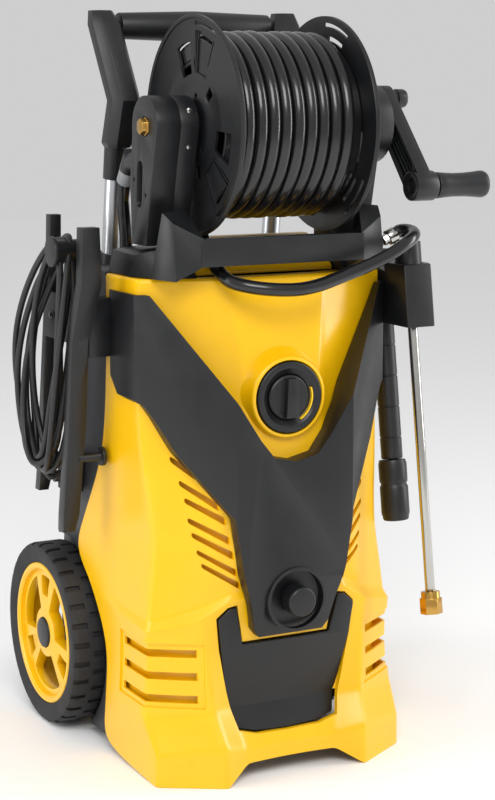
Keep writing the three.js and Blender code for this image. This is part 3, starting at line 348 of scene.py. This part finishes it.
def cage(name, rows, sharp_rows, sharp_columns, levels, material):
    """A subdivided surface over a mirrored cage. Sharp rows and columns keep that share of their crease."""
    full = [list(row) + [(-x, y, z) for x, y, z in reversed(row[:-1])] for row in rows]
    across = len(full[0])
    vertices = [at(*point) for row in full for point in row]
    faces = [
        (r * across + c, r * across + c + 1, (r + 1) * across + c + 1, (r + 1) * across + c)
        for r in range(len(full) - 1)
        for c in range(across - 1)
    ]
    piece = add_mesh(name, vertices, faces, material)
    crease = piece.data.attributes.new("crease_edge", "FLOAT", "EDGE")
    for edge in piece.data.edges:
        a, b = sorted(edge.vertices)
        if b - a == 1:
            crease.data[edge.index].value = sharp_rows.get(a // across, 0.0)
        else:
            crease.data[edge.index].value = sharp_columns.get(a % across, 0.0)
    subdivide = piece.modifiers.new("subdivide", "SUBSURF")
    subdivide.levels = subdivide.render_levels = levels
    return piece


def baked(piece):
    """Fixes the object's modifiers into its mesh."""
    graph = bpy.context.evaluated_depsgraph_get()
    mesh = bpy.data.meshes.new_from_object(piece.evaluated_get(graph), depsgraph=graph)
    piece.modifiers.clear()
    piece.data = mesh
    return piece


def round_edges(piece, radius_mm, angle_deg):
    """Gives every edge sharper than the angle a small radius, and fixes it into the mesh."""
    bevel = piece.modifiers.new("edges", "BEVEL")
    bevel.width = radius_mm / 1000
    bevel.segments = 2
    bevel.limit_method = "ANGLE"
    bevel.angle_limit = math.radians(angle_deg)
    baked(piece)


def slab(outline, axis, start, end):
    """Vertices and faces of a straight extrusion of an outline along an axis, in machine millimetres."""
    order = {"x": (2, 0, 1), "y": (0, 2, 1), "z": (0, 1, 2)}[axis]
    rings = [[tuple(np.array([a, b, along])[list(order)]) for a, b in outline] for along in (start, end)]
    count = len(outline)
    faces = [tuple(range(count))[::-1], tuple(range(count, 2 * count))]
    faces += [(i, (i + 1) % count, (i + 1) % count + count, i + count) for i in range(count)]
    return [at(*v) for ring in rings for v in ring], faces


def carve(piece, slabs):
    """Cuts slabs out of a piece, then fixes the result."""
    vertices, faces = [], []
    for points, polygons in slabs:
        faces += [tuple(i + len(vertices) for i in polygon) for polygon in polygons]
        vertices += points
    cutter = add_mesh("cutter", vertices, faces, piece.data.materials[0], smooth=False)
    recalculate(cutter)
    modifier = piece.modifiers.new("carve", "BOOLEAN")
    modifier.operation = "DIFFERENCE"
    modifier.solver = "EXACT"
    modifier.use_self = True
    modifier.object = cutter
    baked(piece)
    bpy.data.objects.remove(cutter)
    return piece


def recalculate(piece):
    """Turns every face of a closed mesh outwards."""
    work = bmesh.new()
    work.from_mesh(piece.data)
    bmesh.ops.recalc_face_normals(work, faces=work.faces)
    work.to_mesh(piece.data)
    work.free()


def rounded(outline, radius, steps=4):
    """An outline with its corners rounded."""
    points = np.array(outline, float)
    smooth = []
    for i, corner in enumerate(points):
        before = points[i - 1] - corner
        after = points[(i + 1) % len(points)] - corner
        reach = min(radius, np.linalg.norm(before) * 0.45, np.linalg.norm(after) * 0.45)
        a = corner + before / np.linalg.norm(before) * reach
        b = corner + after / np.linalg.norm(after) * reach
        for t in np.linspace(0, 1, steps + 1):
            smooth.append(tuple((1 - t) ** 2 * a + 2 * t * (1 - t) * corner + t * t * b))
    return smooth


shell = cage("front_shell_visual", SHELL_ROWS, SHARP_ROWS, SHARP_COLUMNS, 3, shell_yellow)
recess_wall = shell.modifiers.new("wall", "SOLIDIFY")
recess_wall.thickness = 0.005
recess_wall.offset = 1
SWITCH_Z = 430
SWITCH_HOLE_MM = 40.6
# The tank pocket's right half in (x, z), from the bottom middle up to the top middle.
TANK_EDGE = [(0, 48), (40, 49.5), (63, 56), (74, 100), (83.5, 150), (87.5, 187), (74.5, 199), (63.5, 201),
    (57, 173), (54, 156), (0, 156)]
# The slanting vents: inner x, outer x, height at the inner end, height at the outer end, slot height.
UPPER_VENTS = [
    (82, 117, 312, 338, 9), (76, 113, 296, 319, 9), (72, 111, 274, 297, 9), (68, 108, 257, 281, 9),
    (64, 104, 237, 262, 8), (60, 100, 222, 247, 8), (100, 124, 345, 364, 10),
]
vents = []
for side in (-1, 1):
    for inner, outer, low, high, tall in UPPER_VENTS:
        outline = [
            (side * inner, low - tall / 2), (side * outer, high - tall / 3),
            (side * outer, high + tall / 3), (side * inner, low + tall / 2),
        ]
        vents.append(slab(rounded(outline, 3), "y", -230, -130))
    for z in (96, 122, 148):
        plan = [(side * 108, -215), (side * 175, -215), (side * 175, -84), (side * 146, -84),
            (side * 146, -140), (side * 108, -160)]
        vents.append(slab(plan, "z", z - 4.5, z + 4.5))
pocket_outline = TANK_EDGE + [(-x, z) for x, z in reversed(TANK_EDGE[1:-1])]
vents.append(slab(pocket_outline, "y", -240, -120))
switch_hole = [
    (SWITCH_HOLE_MM * math.cos(a), SWITCH_Z + SWITCH_HOLE_MM * math.sin(a))
    for a in np.linspace(0, 2 * math.pi, 64, endpoint=False)
]
vents.append(slab(switch_hole, "y", -230, -120))
carve(shell, vents)
core = cage("recess_core", SHELL_ROWS, SHARP_ROWS, SHARP_COLUMNS, 3, shell_yellow)
core_wall = core.modifiers.new("wall", "SOLIDIFY")
core_wall.thickness = 0.03
core_wall.offset = 1 + 2 * 0.0022 / 0.03
baked(core)
frames = []
for side in (-1, 1):
    plan = [(side * 102, -215), (side * 175, -215), (side * 175, -76), (side * 140, -76),
        (side * 138, -140), (side * 102, -160)]
    frames.append(slab(plan, "z", 86, 159))
(left_points, left_polygons), (right_points, right_polygons) = frames
points = left_points + right_points
polygons = left_polygons + [tuple(i + len(left_points) for i in polygon) for polygon in right_polygons]
band = add_mesh("recess_band", points, polygons, shell_yellow, smooth=False)
recalculate(band)
for target, cutter in ((band, core), (shell, band)):
    recess = target.modifiers.new("recess", "BOOLEAN")
    recess.operation = "DIFFERENCE"
    recess.solver = "EXACT"
    recess.object = cutter
    baked(target)
    bpy.data.objects.remove(cutter)
shell.data.set_sharp_from_angle(angle=math.radians(38))
LINER_INSET = 9.0
liner_rows = [
    [(x * (1 - LINER_INSET / 155), y + LINER_INSET * (1 if abs(y) > 60 else 0.2), z) for x, y, z in row]
    for row in SHELL_ROWS[2:13]
]
liner = cage("shell_liner", liner_rows, {}, {}, 2, shell_yellow)
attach(liner, "chassis")
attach(shell, "chassis")
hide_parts("front_shell")

# ---- pieces that keep their engineering shape ----
# Moulded and turned parts are taken over, their flat facets merged, and every edge given a small radius.
black_plastic = plain("moulded_black", "131416", 0.4, grain=0.22, grain_mm=0.7, mottling=0.06)
grey_plastic = plain("moulded_grey", "2C2D30", 0.5, grain=0.22, grain_mm=0.7, mottling=0.05)
pale_plastic = plain("nut_pale_grey", "8A8C8E", 0.42, mottling=0.04)
foot_rubber = plain("foot_rubber", "1E1E20", 0.8, grain=0.3, grain_mm=1.2)
aluminium = plain("tube_aluminium", "C6C8CB", 0.32, metal=1.0, mottling=0.03)
steel = plain("bright_steel", "BDBBB6", 0.16, metal=1.0, mottling=0.03)
brass = plain("turned_brass", "C69A4E", 0.24, metal=1.0, mottling=0.05)
cast_metal = plain("cast_aluminium", "8F9194", 0.5, metal=1.0, grain=0.3, grain_mm=1.5)


def moulded(name, material, body, radius_mm):
    """A CAD part's shape with its flat facets merged and its edges rounded."""
    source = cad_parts[name]
    mesh = source.data.copy()
    mesh.transform(source.matrix_world)
    work = bmesh.new()
    work.from_mesh(mesh)
    bmesh.ops.remove_doubles(work, verts=work.verts, dist=0.00002)
    bmesh.ops.dissolve_limit(work, angle_limit=math.radians(1.5), verts=work.verts, edges=work.edges)
    mesh = bpy.data.meshes.new(name + "_visual")
    work.to_mesh(mesh)
    work.free()
    mesh.materials.clear()
    mesh.materials.append(material)
    piece = bpy.data.objects.new(name + "_visual", mesh)
    bpy.context.scene.collection.objects.link(piece)
    mesh.shade_smooth()
    round_edges(piece, radius_mm, 28)
    piece.data.set_sharp_from_angle(angle=math.radians(32))
    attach(piece, body)
    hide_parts(name)


for name, material, slot, body, radius in (
    ("v_panel", black_plastic, "black_plastic", "chassis", 1.4),
    ("top_frame", black_plastic, "black_plastic", "chassis", 1.5),
    ("deck_panel", shell_yellow, "yellow_shell", "chassis", 1.2),
    ("rear_shell", grey_plastic, "grey_plastic", "chassis", 1.6),
    ("reel_bracket_left", black_plastic, "black_plastic", "chassis", 1.2),
    ("bracket_cover_left", black_plastic, "black_plastic", "chassis", 1.6),
    ("reel_bracket_right", black_plastic, "black_plastic", "chassis", 1.6),
    ("inlet_swivel", brass, "brass", "chassis", 0.5),
    ("feed_nut", pale_plastic, "pale_grey", "chassis", 0.6),
    ("feed_hose", hose_black, "hose", "chassis", 0.3),
    ("base_plate", grey_plastic, "grey_plastic", "chassis", 0.8),
    ("axle", steel, "steel", "chassis", 0.6),
    ("handle_guide_left", black_plastic, "black_plastic", "chassis", 0.6),
    ("handle_guide_right", black_plastic, "black_plastic", "chassis", 0.6),
    ("motor_stator", cast_metal, "cast_aluminium", "chassis", 0.8),
    ("motor_end_bell", cast_metal, "cast_aluminium", "chassis", 0.8),
    ("pump_head", brass, "brass", "chassis", 1.0),
    ("pump_body", cast_metal, "cast_aluminium", "chassis", 0.8),
    ("switch_box", grey_plastic, "grey_plastic", "chassis", 0.8),
    ("switch_bezel", black_plastic, "black_plastic", "chassis", 0.7),
    ("water_inlet", brass, "brass", "chassis", 0.5),
    ("cord_hook", black_plastic, "black_plastic", "chassis", 1.3),
    ("lance_holder", black_plastic, "black_plastic", "chassis", 1.2),
    ("foot_pad_left", foot_rubber, "rubber", "chassis", 0.8),
    ("foot_pad_right", foot_rubber, "rubber", "chassis", 0.8),
    ("mains_plug", lead_black, "rubber", "chassis", 1.6),
    ("strain_relief", lead_black, "rubber", "chassis", 0.4),
    ("hose_fitting", steel, "steel", "chassis", 0.5),
    ("reel_core", black_plastic, "black_plastic", "reel", 0.6),
    ("handle_arm_left", black_plastic, "black_plastic", "handle", 2.0),
    ("handle_arm_right", black_plastic, "black_plastic", "handle", 2.0),
    ("handle_grip", black_plastic, "black_plastic", "handle", 1.2),
    ("handle_tube_left", aluminium, "aluminium", "handle", 0.4),
    ("handle_tube_right", aluminium, "aluminium", "handle", 0.4),
    ("switch_knob", black_plastic, "black_plastic", "switch", 0.8),
    ("dosing_knob", black_plastic, "black_plastic", "dosing", 0.8),
    ("detergent_tank", black_plastic, "black_plastic", "tank", 1.4),
    ("lance_sleeve", black_plastic, "black_plastic", "steel_lance", 0.8),
    ("lance_tube", steel, "steel", "steel_lance", 0.3),
    ("lance_coupler", brass, "brass", "steel_lance", 0.6),
    ("rotor_shaft", steel, "steel", "rotor", 0.6),
    ("wobble_plate", steel, "steel", "rotor", 0.6),
    ("motor_fan", black_plastic, "black_plastic", "rotor", 0.4),
    ("piston_1", steel, "steel", "piston_1", 0.6),
    ("piston_2", steel, "steel", "piston_2", 0.6),
    ("piston_3", steel, "steel", "piston_3", 0.6),
):
    moulded(name, material, body, radius)

# ---- wheels ----
# Turned tyres with two staggered rows of tread slots, and yellow rims with three forked spokes.
tyre_black = plain("tyre_rubber", "232325", 0.72, grain=0.25, grain_mm=1.0)
WHEEL_AT = (0, 101.5, 110.5)


def lathe(name, profile, centre, axis, material, steps=96):
    """Spins a closed profile of (radius, distance along the axis) in mm about an axis through centre."""
    count = len(profile)
    turn = np.linspace(0, 2 * math.pi, steps, endpoint=False)
    radius = np.array([p[0] for p in profile])
    along = np.array([p[1] for p in profile])
    a = radius[None, :] * np.cos(turn)[:, None]
    b = radius[None, :] * np.sin(turn)[:, None]
    c = np.broadcast_to(along, a.shape)
    stack = {"x": (c, a, b), "y": (b, c, a), "z": (a, b, c)}[axis]
    points = np.stack(stack, axis=-1).reshape(-1, 3) + np.array(centre)
    vertices = [at(*p) for p in points]
    faces = [
        (i * count + j, ((i + 1) % steps) * count + j, ((i + 1) % steps) * count + (j + 1) % count,
            i * count + (j + 1) % count)
        for i in range(steps)
        for j in range(count)
    ]
    piece = add_mesh(name, vertices, faces, material)
    recalculate(piece)
    piece.data.set_sharp_from_angle(angle=math.radians(40))
    return piece


def ring_sector(radius_in, radius_out, from_deg, to_deg, centre, steps=8):
    """An outline of a ring's sector in (y, z), angles from +y towards +z."""
    turn = np.radians(np.linspace(from_deg, to_deg, steps + 1))
    outer = [(centre[0] + radius_out * math.cos(t), centre[1] + radius_out * math.sin(t)) for t in turn]
    inner = [(centre[0] + radius_in * math.cos(t), centre[1] + radius_in * math.sin(t)) for t in turn[::-1]]
    return outer + inner


def dress(piece, body, slot, *nodes):
    """Ties a piece to its body, in place of CAD nodes. The finish slot is not used."""
    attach(piece, body)
    if nodes:
        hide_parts(*nodes)
    return piece


TYRE_PROFILE = [
    (86.3, 147), (100, 143.6), (104, 143.2), (107.5, 144.2), (109.6, 147), (110.4, 150), (110.4, 163.6),
        (110.4, 166.4), (110.4, 180),
    (109.6, 183), (107.5, 185.8), (104, 186.8), (100, 186.4), (92, 185.4), (88, 184.6), (86.3, 183.6),
]
BARREL_PROFILE = [
    (78, 148), (85.8, 148), (85.8, 183.4), (84.6, 184.6), (80.5, 184.6), (78, 182.5), (77, 172), (77, 150),
]
DISC_PROFILE = [(6.4, 166), (78, 168), (78, 178), (60, 179.5), (26, 180.5), (22, 181.5), (6.4, 181.5)]
CAP_PROFILE = [(0.01, 176), (19, 176), (19, 182), (17.5, 184), (12, 185.2), (0.01, 185.6)]
for side, word in ((-1, "left"), (1, "right")):
    tyre = lathe("tyre_" + word + "_visual", [(r, side * x) for r, x in TYRE_PROFILE], WHEEL_AT, "x",
        tyre_black, 144)
    treads = []
    for i in range(30):
        for row, (x0, x1) in enumerate(((141, 162.5), (167.5, 189))):
            middle = 12 * i + 6 * row
            sector = ring_sector(106.8, 114, middle - 1.7, middle + 1.7, WHEEL_AT[1:], 2)
            treads.append(slab(sector, "x", *sorted((side * x0, side * x1))))
    carve(tyre, treads)
    tyre.data.set_sharp_from_angle(angle=math.radians(35))
    dress(tyre, "wheel_" + word, "tyre", "tyre_" + word)
    rim = lathe("rim_" + word + "_visual", [(r, side * x) for r, x in BARREL_PROFILE], WHEEL_AT, "x",
        shell_yellow, 96)
    dress(rim, "wheel_" + word, "yellow_shell", "rim_" + word)
    disc = lathe(
        "rim_disc_" + word, [(r, side * x) for r, x in DISC_PROFILE], WHEEL_AT, "x", shell_yellow, 96,
    )
    holes = []
    for i in range(3):
        fork = 90 + 120 * i
        holes.append(slab(rounded(ring_sector(30, 70, fork + 24, fork + 96, WHEEL_AT[1:], 10), 5, 3), "x",
            -200, 200))
        holes.append(slab(rounded(ring_sector(46, 70, fork - 11, fork + 11, WHEEL_AT[1:], 4), 4, 3), "x",
            -200, 200))
    carve(disc, holes)
    round_edges(disc, 1.2, 40)
    disc.data.set_sharp_from_angle(angle=math.radians(40))
    dress(disc, "wheel_" + word, "yellow_shell")
    cap = lathe(
        "hub_cap_" + word, [(r, side * x) for r, x in CAP_PROFILE], WHEEL_AT, "x", black_plastic, 64,
    )
    dress(cap, "wheel_" + word, "black_plastic")

# ---- hose reel ----
# Flanges with a raised rim, three recessed fields with rim slots, windows and holes, and the wound hose's turns.
REEL_AT = (0, -117, 726)
FLANGE_PROFILE = [
    (14, 78.2), (113, 78.2), (119.6, 78.6), (120, 79.4), (120, 83.2), (119.2, 84), (116.8, 84),
        (115.8, 83.2), (115.2, 81.6), (75, 81.4), (70, 82.2),
    (66, 82.2), (62, 81.4), (44, 81.4), (40, 83.4), (14, 83.4),
]
for side, word in ((-1, "left"), (1, "right")):
    flange = lathe("reel_flange_" + word + "_visual", [(r, side * x) for r, x in FLANGE_PROFILE], REEL_AT,
        "x", black_plastic, 144)
    cuts = []
    surface = sorted((side * 79.9, side * 90))
    deeper = sorted((side * 70, side * 90))
    for i in range(3):
        start = 90 + 2 + 120 * i
        cuts.append(slab(ring_sector(108.5, 112.8, start, start + 29, REEL_AT[1:], 12), "x", *deeper))
        cuts.append(slab(ring_sector(58, 103, start + 1, start + 28, REEL_AT[1:], 10), "x", *surface))
        cuts.append(slab(ring_sector(94, 99, start + 4, start + 26, REEL_AT[1:], 10), "x", *deeper))
        cuts.append(slab(rounded(ring_sector(56, 92, start - 28, start - 6, REEL_AT[1:], 6), 3, 3), "x",
            *deeper))
        slot = [(y + REEL_AT[1], z + REEL_AT[2]) for y,
            z in ring_sector(44, 58, start + 41, start + 53, (0, 0), 1)]
        cuts.append(slab(rounded(slot, 1.5, 2), "x", *deeper))
        bolt = math.radians(start + 15)
        bolt_hole = [
            (
                REEL_AT[1] + 34 * math.cos(bolt) + 3.2 * math.cos(t),
                REEL_AT[2] + 34 * math.sin(bolt) + 3.2 * math.sin(t),
            )
            for t in np.linspace(0, 2 * math.pi, 20, endpoint=False)
        ]
        cuts.append(slab(bolt_hole, "x", *deeper))
    carve(flange, cuts)
    flange.data.set_sharp_from_angle(angle=math.radians(30))
    dress(flange, "reel", "black_plastic", "reel_flange_" + word)
    ribs_vertices, ribs_faces = [], []
    for i in range(3):
        start = 92 + 120 * i
        for angle in (start + 2.5, start + 5.5, start + 26.5):
            t = math.radians(angle)
            radial = np.array([math.cos(t), math.sin(t)])
            tangent = np.array([-math.sin(t), math.cos(t)]) * 0.8
            outline = [tuple(np.array(REEL_AT[1:]) + radial * r + tangent * w) for r,
                w in ((57, -1), (103, -1), (103, 1), (57, 1))]
            points, polygons = slab(outline, "x", *sorted((side * 79.5, side * 81.6)))
            ribs_faces += [tuple(k + len(ribs_vertices) for k in polygon) for polygon in polygons]
            ribs_vertices += points
    ribs = add_mesh("flange_ribs_" + word, ribs_vertices, ribs_faces, black_plastic, smooth=False)
    recalculate(ribs)
    dress(ribs, "reel", "black_plastic")
    stub_profile = [(r, side * x) for r, x in ((0.01, 83), (14, 83), (14, 109.5), (0.01, 109.5))]
    stub = lathe("reel_stub_" + word, stub_profile, REEL_AT, "x", black_plastic, 48)
    dress(stub, "reel", "black_plastic")


def tube_mesh(name, line, radius_mm, sides, material):
    """A round tube of quads along a line in machine millimetres, with its frame carried along."""
    line = np.array(line, float)
    tangent = np.gradient(line, axis=0)
    tangent /= np.linalg.norm(tangent, axis=1)[:, None]
    up = np.array([1.0, 0, 0]) if abs(tangent[0][0]) < 0.9 else np.array([0, 1.0, 0])
    normals = []
    normal = up - tangent[0] * up.dot(tangent[0])
    for t in tangent:
        normal = normal - t * normal.dot(t)
        normal /= np.linalg.norm(normal)
        normals.append(normal)
    normals = np.array(normals)
    binormals = np.cross(tangent, normals)
    turn = np.linspace(0, 2 * math.pi, sides, endpoint=False)
    sideways = np.cos(turn)[None, :, None] * normals[:, None, :] + np.sin(turn)[None, :,
        None] * binormals[:, None, :]
    rings = line[:, None, :] + radius_mm * sideways
    vertices = rings.reshape(-1, 3) / 1000 + MIDDLE
    faces = [
        (i * sides + j, i * sides + (j + 1) % sides, (i + 1) * sides + (j + 1) % sides, (i + 1) * sides + j)
        for i in range(len(line) - 1)
        for j in range(sides)
    ]
    last = (len(line) - 1) * sides
    faces += [tuple(range(sides))[::-1], tuple(range(last, last + sides))]
    return add_mesh(name, vertices, faces, material)


WOUND_TURNS = 9.1
WOUND_PITCH = 15.1
coil_turn = np.linspace(0, WOUND_TURNS * 2 * math.pi, int(64 * WOUND_TURNS))
coil_x = -68.6 + WOUND_PITCH * coil_turn / (2 * math.pi)
coil_radius = 95.2 + 0.5 * np.sin(coil_turn * 1.7) + 0.3 * np.sin(coil_turn * 0.53 + 1)
coil_angle = math.radians(-53) - coil_turn
coil_line = np.column_stack([coil_x, REEL_AT[1] + coil_radius * np.cos(coil_angle),
    REEL_AT[2] + coil_radius * np.sin(coil_angle)])
wound = tube_mesh("wound_hose_visual", coil_line, 7.45, 14, hose_black)
dress(wound, "reel", "hose", "wound_hose")
under = lathe("wound_hose_under", [(73.2, -77), (73.2, 77), (91, 77), (91, -77)], REEL_AT, "x", hose_black, 64)
dress(under, "reel", "hose")

# ---- crank ----
# A tapered lever with a hollow, ribbed inner side, a pivot pin, and a waisted grip behind a groove.
CRANK_TURN = math.radians(229)
crank_way = np.array([math.cos(CRANK_TURN), math.sin(CRANK_TURN)])
crank_across = np.array([-crank_way[1], crank_way[0]])
CRANK_TIP = np.array(REEL_AT[1:]) + crank_way * 91
CRANK_TAIL = np.array(REEL_AT[1:]) - crank_way * 37


def capsule(a, b, radius_a, radius_b, steps=14):
    """The outline of a bar with round ends of two radii, in (y, z)."""
    way = (b - a) / np.linalg.norm(b - a)
    across = np.array([-way[1], way[0]])
    turn = np.linspace(-math.pi / 2, math.pi / 2, steps + 1)
    head = [tuple(b + radius_b * (math.cos(t) * way + math.sin(t) * across)) for t in turn]
    tail = [tuple(a - radius_a * (math.cos(t) * way + math.sin(t) * across)) for t in turn]
    return head + tail


def solid(name, block, material, radius_mm, cuts=()):
    """Makes a piece of one slab, cuts others out, and rounds its edges."""
    piece = add_mesh(name, *block, material)
    recalculate(piece)
    if cuts:
        carve(piece, cuts)
    round_edges(piece, radius_mm, 32)
    piece.data.shade_smooth()
    piece.data.set_sharp_from_angle(angle=math.radians(35))
    return piece


lever_outline = capsule(CRANK_TAIL, CRANK_TIP, 15.0, 17.0)
hollow = capsule(CRANK_TAIL + crank_way * 20, CRANK_TIP - crank_way * 22, 11.0, 13.0)
lever_block = slab(lever_outline, "x", 163.8, 182.2)
lever = solid("crank_lever_visual", lever_block, black_plastic, 1.4, [slab(hollow, "x", 160, 177.5)])
dress(lever, "reel", "black_plastic", "crank_arm")
for i, offset in enumerate((-5, 1, 7)):
    a = CRANK_TAIL + crank_way * 12 + crank_across * offset
    b = CRANK_TIP - crank_way * 12 + crank_across * offset
    rib_block = slab(capsule(a, b, 0.9, 0.9, 3), "x", 166.5, 178)
    rib = solid("crank_rib_%d" % (i + 1), rib_block, black_plastic, 0.3)
    dress(rib, "reel", "black_plastic")
tip_cup = [(9, 162), (15, 160), (16.6, 161), (17, 163), (17, 188), (16, 189.8), (11, 190), (9, 188)]
dress(lathe("crank_boss", tip_cup, (0, *CRANK_TIP), "x", black_plastic, 64), "reel", "black_plastic")
pin = [(0.01, 159), (10, 159), (11, 160), (11, 176), (9.5, 178), (9.5, 190), (11, 191), (11, 200),
    (10, 202.8), (6.5, 203), (6, 200), (0.01, 200)]
dress(lathe("crank_pin", pin, (0, *CRANK_TAIL), "x", black_plastic, 48), "reel", "black_plastic")
spindle = [(0.01, 110.4), (13.8, 110.4), (13.8, 162), (17, 163), (17, 166), (0.01, 166)]
dress(lathe("crank_spindle", spindle, REEL_AT, "x", black_plastic, 48), "reel", "black_plastic")
GRIP_PROFILE = [
    (5, 177), (5, 190.8), (10.5, 190.8), (10.8, 192.6), (14.2, 193), (15, 195), (14.3, 203), (13.4, 216),
        (13.6, 232), (14.6, 246), (15.4, 252),
    (15.5, 256), (14.5, 259), (12, 260.6), (8, 261), (0.01, 261), (0.01, 177),
]
grip_rubber = plain("grip_satin_black", "1B1C1E", 0.38, grain=0.18, grain_mm=0.6, mottling=0.05)
grip = lathe("crank_grip_visual", GRIP_PROFILE, (0, *CRANK_TIP), "x", grip_rubber, 64)
dress(grip, "crank_grip", "black_plastic", "crank_grip")

# ---- switch collar, marker and screws ----
# The flared yellow ring that stands out of the shell round the switch, and bright screws.
COLLAR = [(40.8, -150), (40.8, -186), (41.8, -188), (44, -188), (45.6, -186.6), (46.2, -184), (48, -176),
    (53, -168), (60, -160), (60, -150)]
collar = lathe("switch_collar", COLLAR, (0, 0, SWITCH_Z), "y", shell_yellow, 96)
collar.data.set_sharp_from_angle(angle=math.radians(50))
dress(collar, "chassis", "yellow_shell")
mark_yellow = plain("mark_yellow", "F6C61A", 0.4, mottling=0.02)
marker_turn = np.radians(np.linspace(-62, 20, 15))
marker_outline = [(27.4 * math.cos(t), SWITCH_Z + 27.4 * math.sin(t)) for t in marker_turn]
marker_turn = np.radians(np.linspace(20, -62, 15))
marker_outline += [(29.0 * math.cos(t), SWITCH_Z + 29.0 * math.sin(t)) for t in marker_turn]
marker_piece = add_mesh("switch_marker", *slab(marker_outline, "y", -189.6, -186), mark_yellow, smooth=False)
recalculate(marker_piece)
dress(marker_piece, "chassis", "yellow_shell")
SCREW = [(0.01, -2.2), (2.0, -2.2), (3.0, -1.7), (3.3, -0.9), (3.3, 1), (0.01, 1)]
for i, (x, y, z) in enumerate(((-100, -144.7, 743), (-100, -142.3, 705))):
    screw = lathe("bracket_screw_%d" % (i + 1), SCREW, (x, y, z), "y", steel, 32)
    dress(screw, "chassis", "steel")
for i, (y, z, r) in enumerate(((-46, 505, 4.2), (60, 505, 4.2))):
    profile = [(0.01, -183.4), (r * 0.7, -183.4), (r, -182.6), (r, -181), (0.01, -181)]
    screw = lathe("hook_screw_%d" % (i + 1), profile, (0, y, z), "x", steel, 32)
    dress(screw, "chassis", "steel")

# ---- spray pipe with rings ----
# The second pipe is turned with fine grooves, and the nozzle below it has a groove and an end ring.


PIPE_X = 180
PIPE_LEAN = 0.15


def pipe_at(z):
    """The point of the second pipe's leaning axis at a height."""
    return (PIPE_X, -94.9 + PIPE_LEAN * (z - 454.5), z)


def leaning_lathe(name, profile, foot, material, steps=64):
    """Spins a profile of (radius, height above the foot) about an axis that leans back."""
    piece = lathe(name, profile, (0, 0, 0), "z", material, steps)
    way = Vector((0, PIPE_LEAN, 1)).normalized()
    turn = Vector((0, 0, 1)).rotation_difference(way).to_matrix().to_4x4()
    move = Matrix.Translation(Vector(at(*foot)))
    back = Matrix.Translation(-Vector(at(0, 0, 0)))
    piece.data.transform(move @ turn @ back)
    return piece


VARIO_FOOT = pipe_at(331)
VARIO_LENGTH = 247 * math.hypot(1, PIPE_LEAN)
pipe_profile = [(0.01, 0.3), (12.2, 0.3), (12.9, 1.4)]
for ring_at in np.arange(26, VARIO_LENGTH - 70, 36.5):
    pipe_profile += [(12.9, ring_at - 1.2), (12.2, ring_at - 0.5), (12.2, ring_at + 0.5), (12.9, ring_at + 1.2)]
pipe_profile += [(12.9, VARIO_LENGTH - 2), (12, VARIO_LENGTH - 0.4), (0.01, VARIO_LENGTH - 0.4)]
vario = leaning_lathe("vario_lance_visual", pipe_profile, VARIO_FOOT, black_plastic)
dress(vario, "vario_lance", "black_plastic", "vario_lance")
NOZZLE_FOOT = pipe_at(258)
NOZZLE = [
    (5, 0), (11, 0), (14.5, 1), (15.6, 3.5), (15.6, 6), (16.4, 7), (16.9, 10), (16.9, 40), (16.2, 42),
        (15.4, 43), (15.4, 45), (16.6, 46.5), (16.9, 50),
    (16.9, 68), (15.6, 72.6), (5, 73), (5, 72),
]
nozzle = leaning_lathe("vario_nozzle_visual", NOZZLE, NOZZLE_FOOT, black_plastic, 72)
dress(nozzle, "vario_nozzle", "black_plastic", "vario_nozzle")
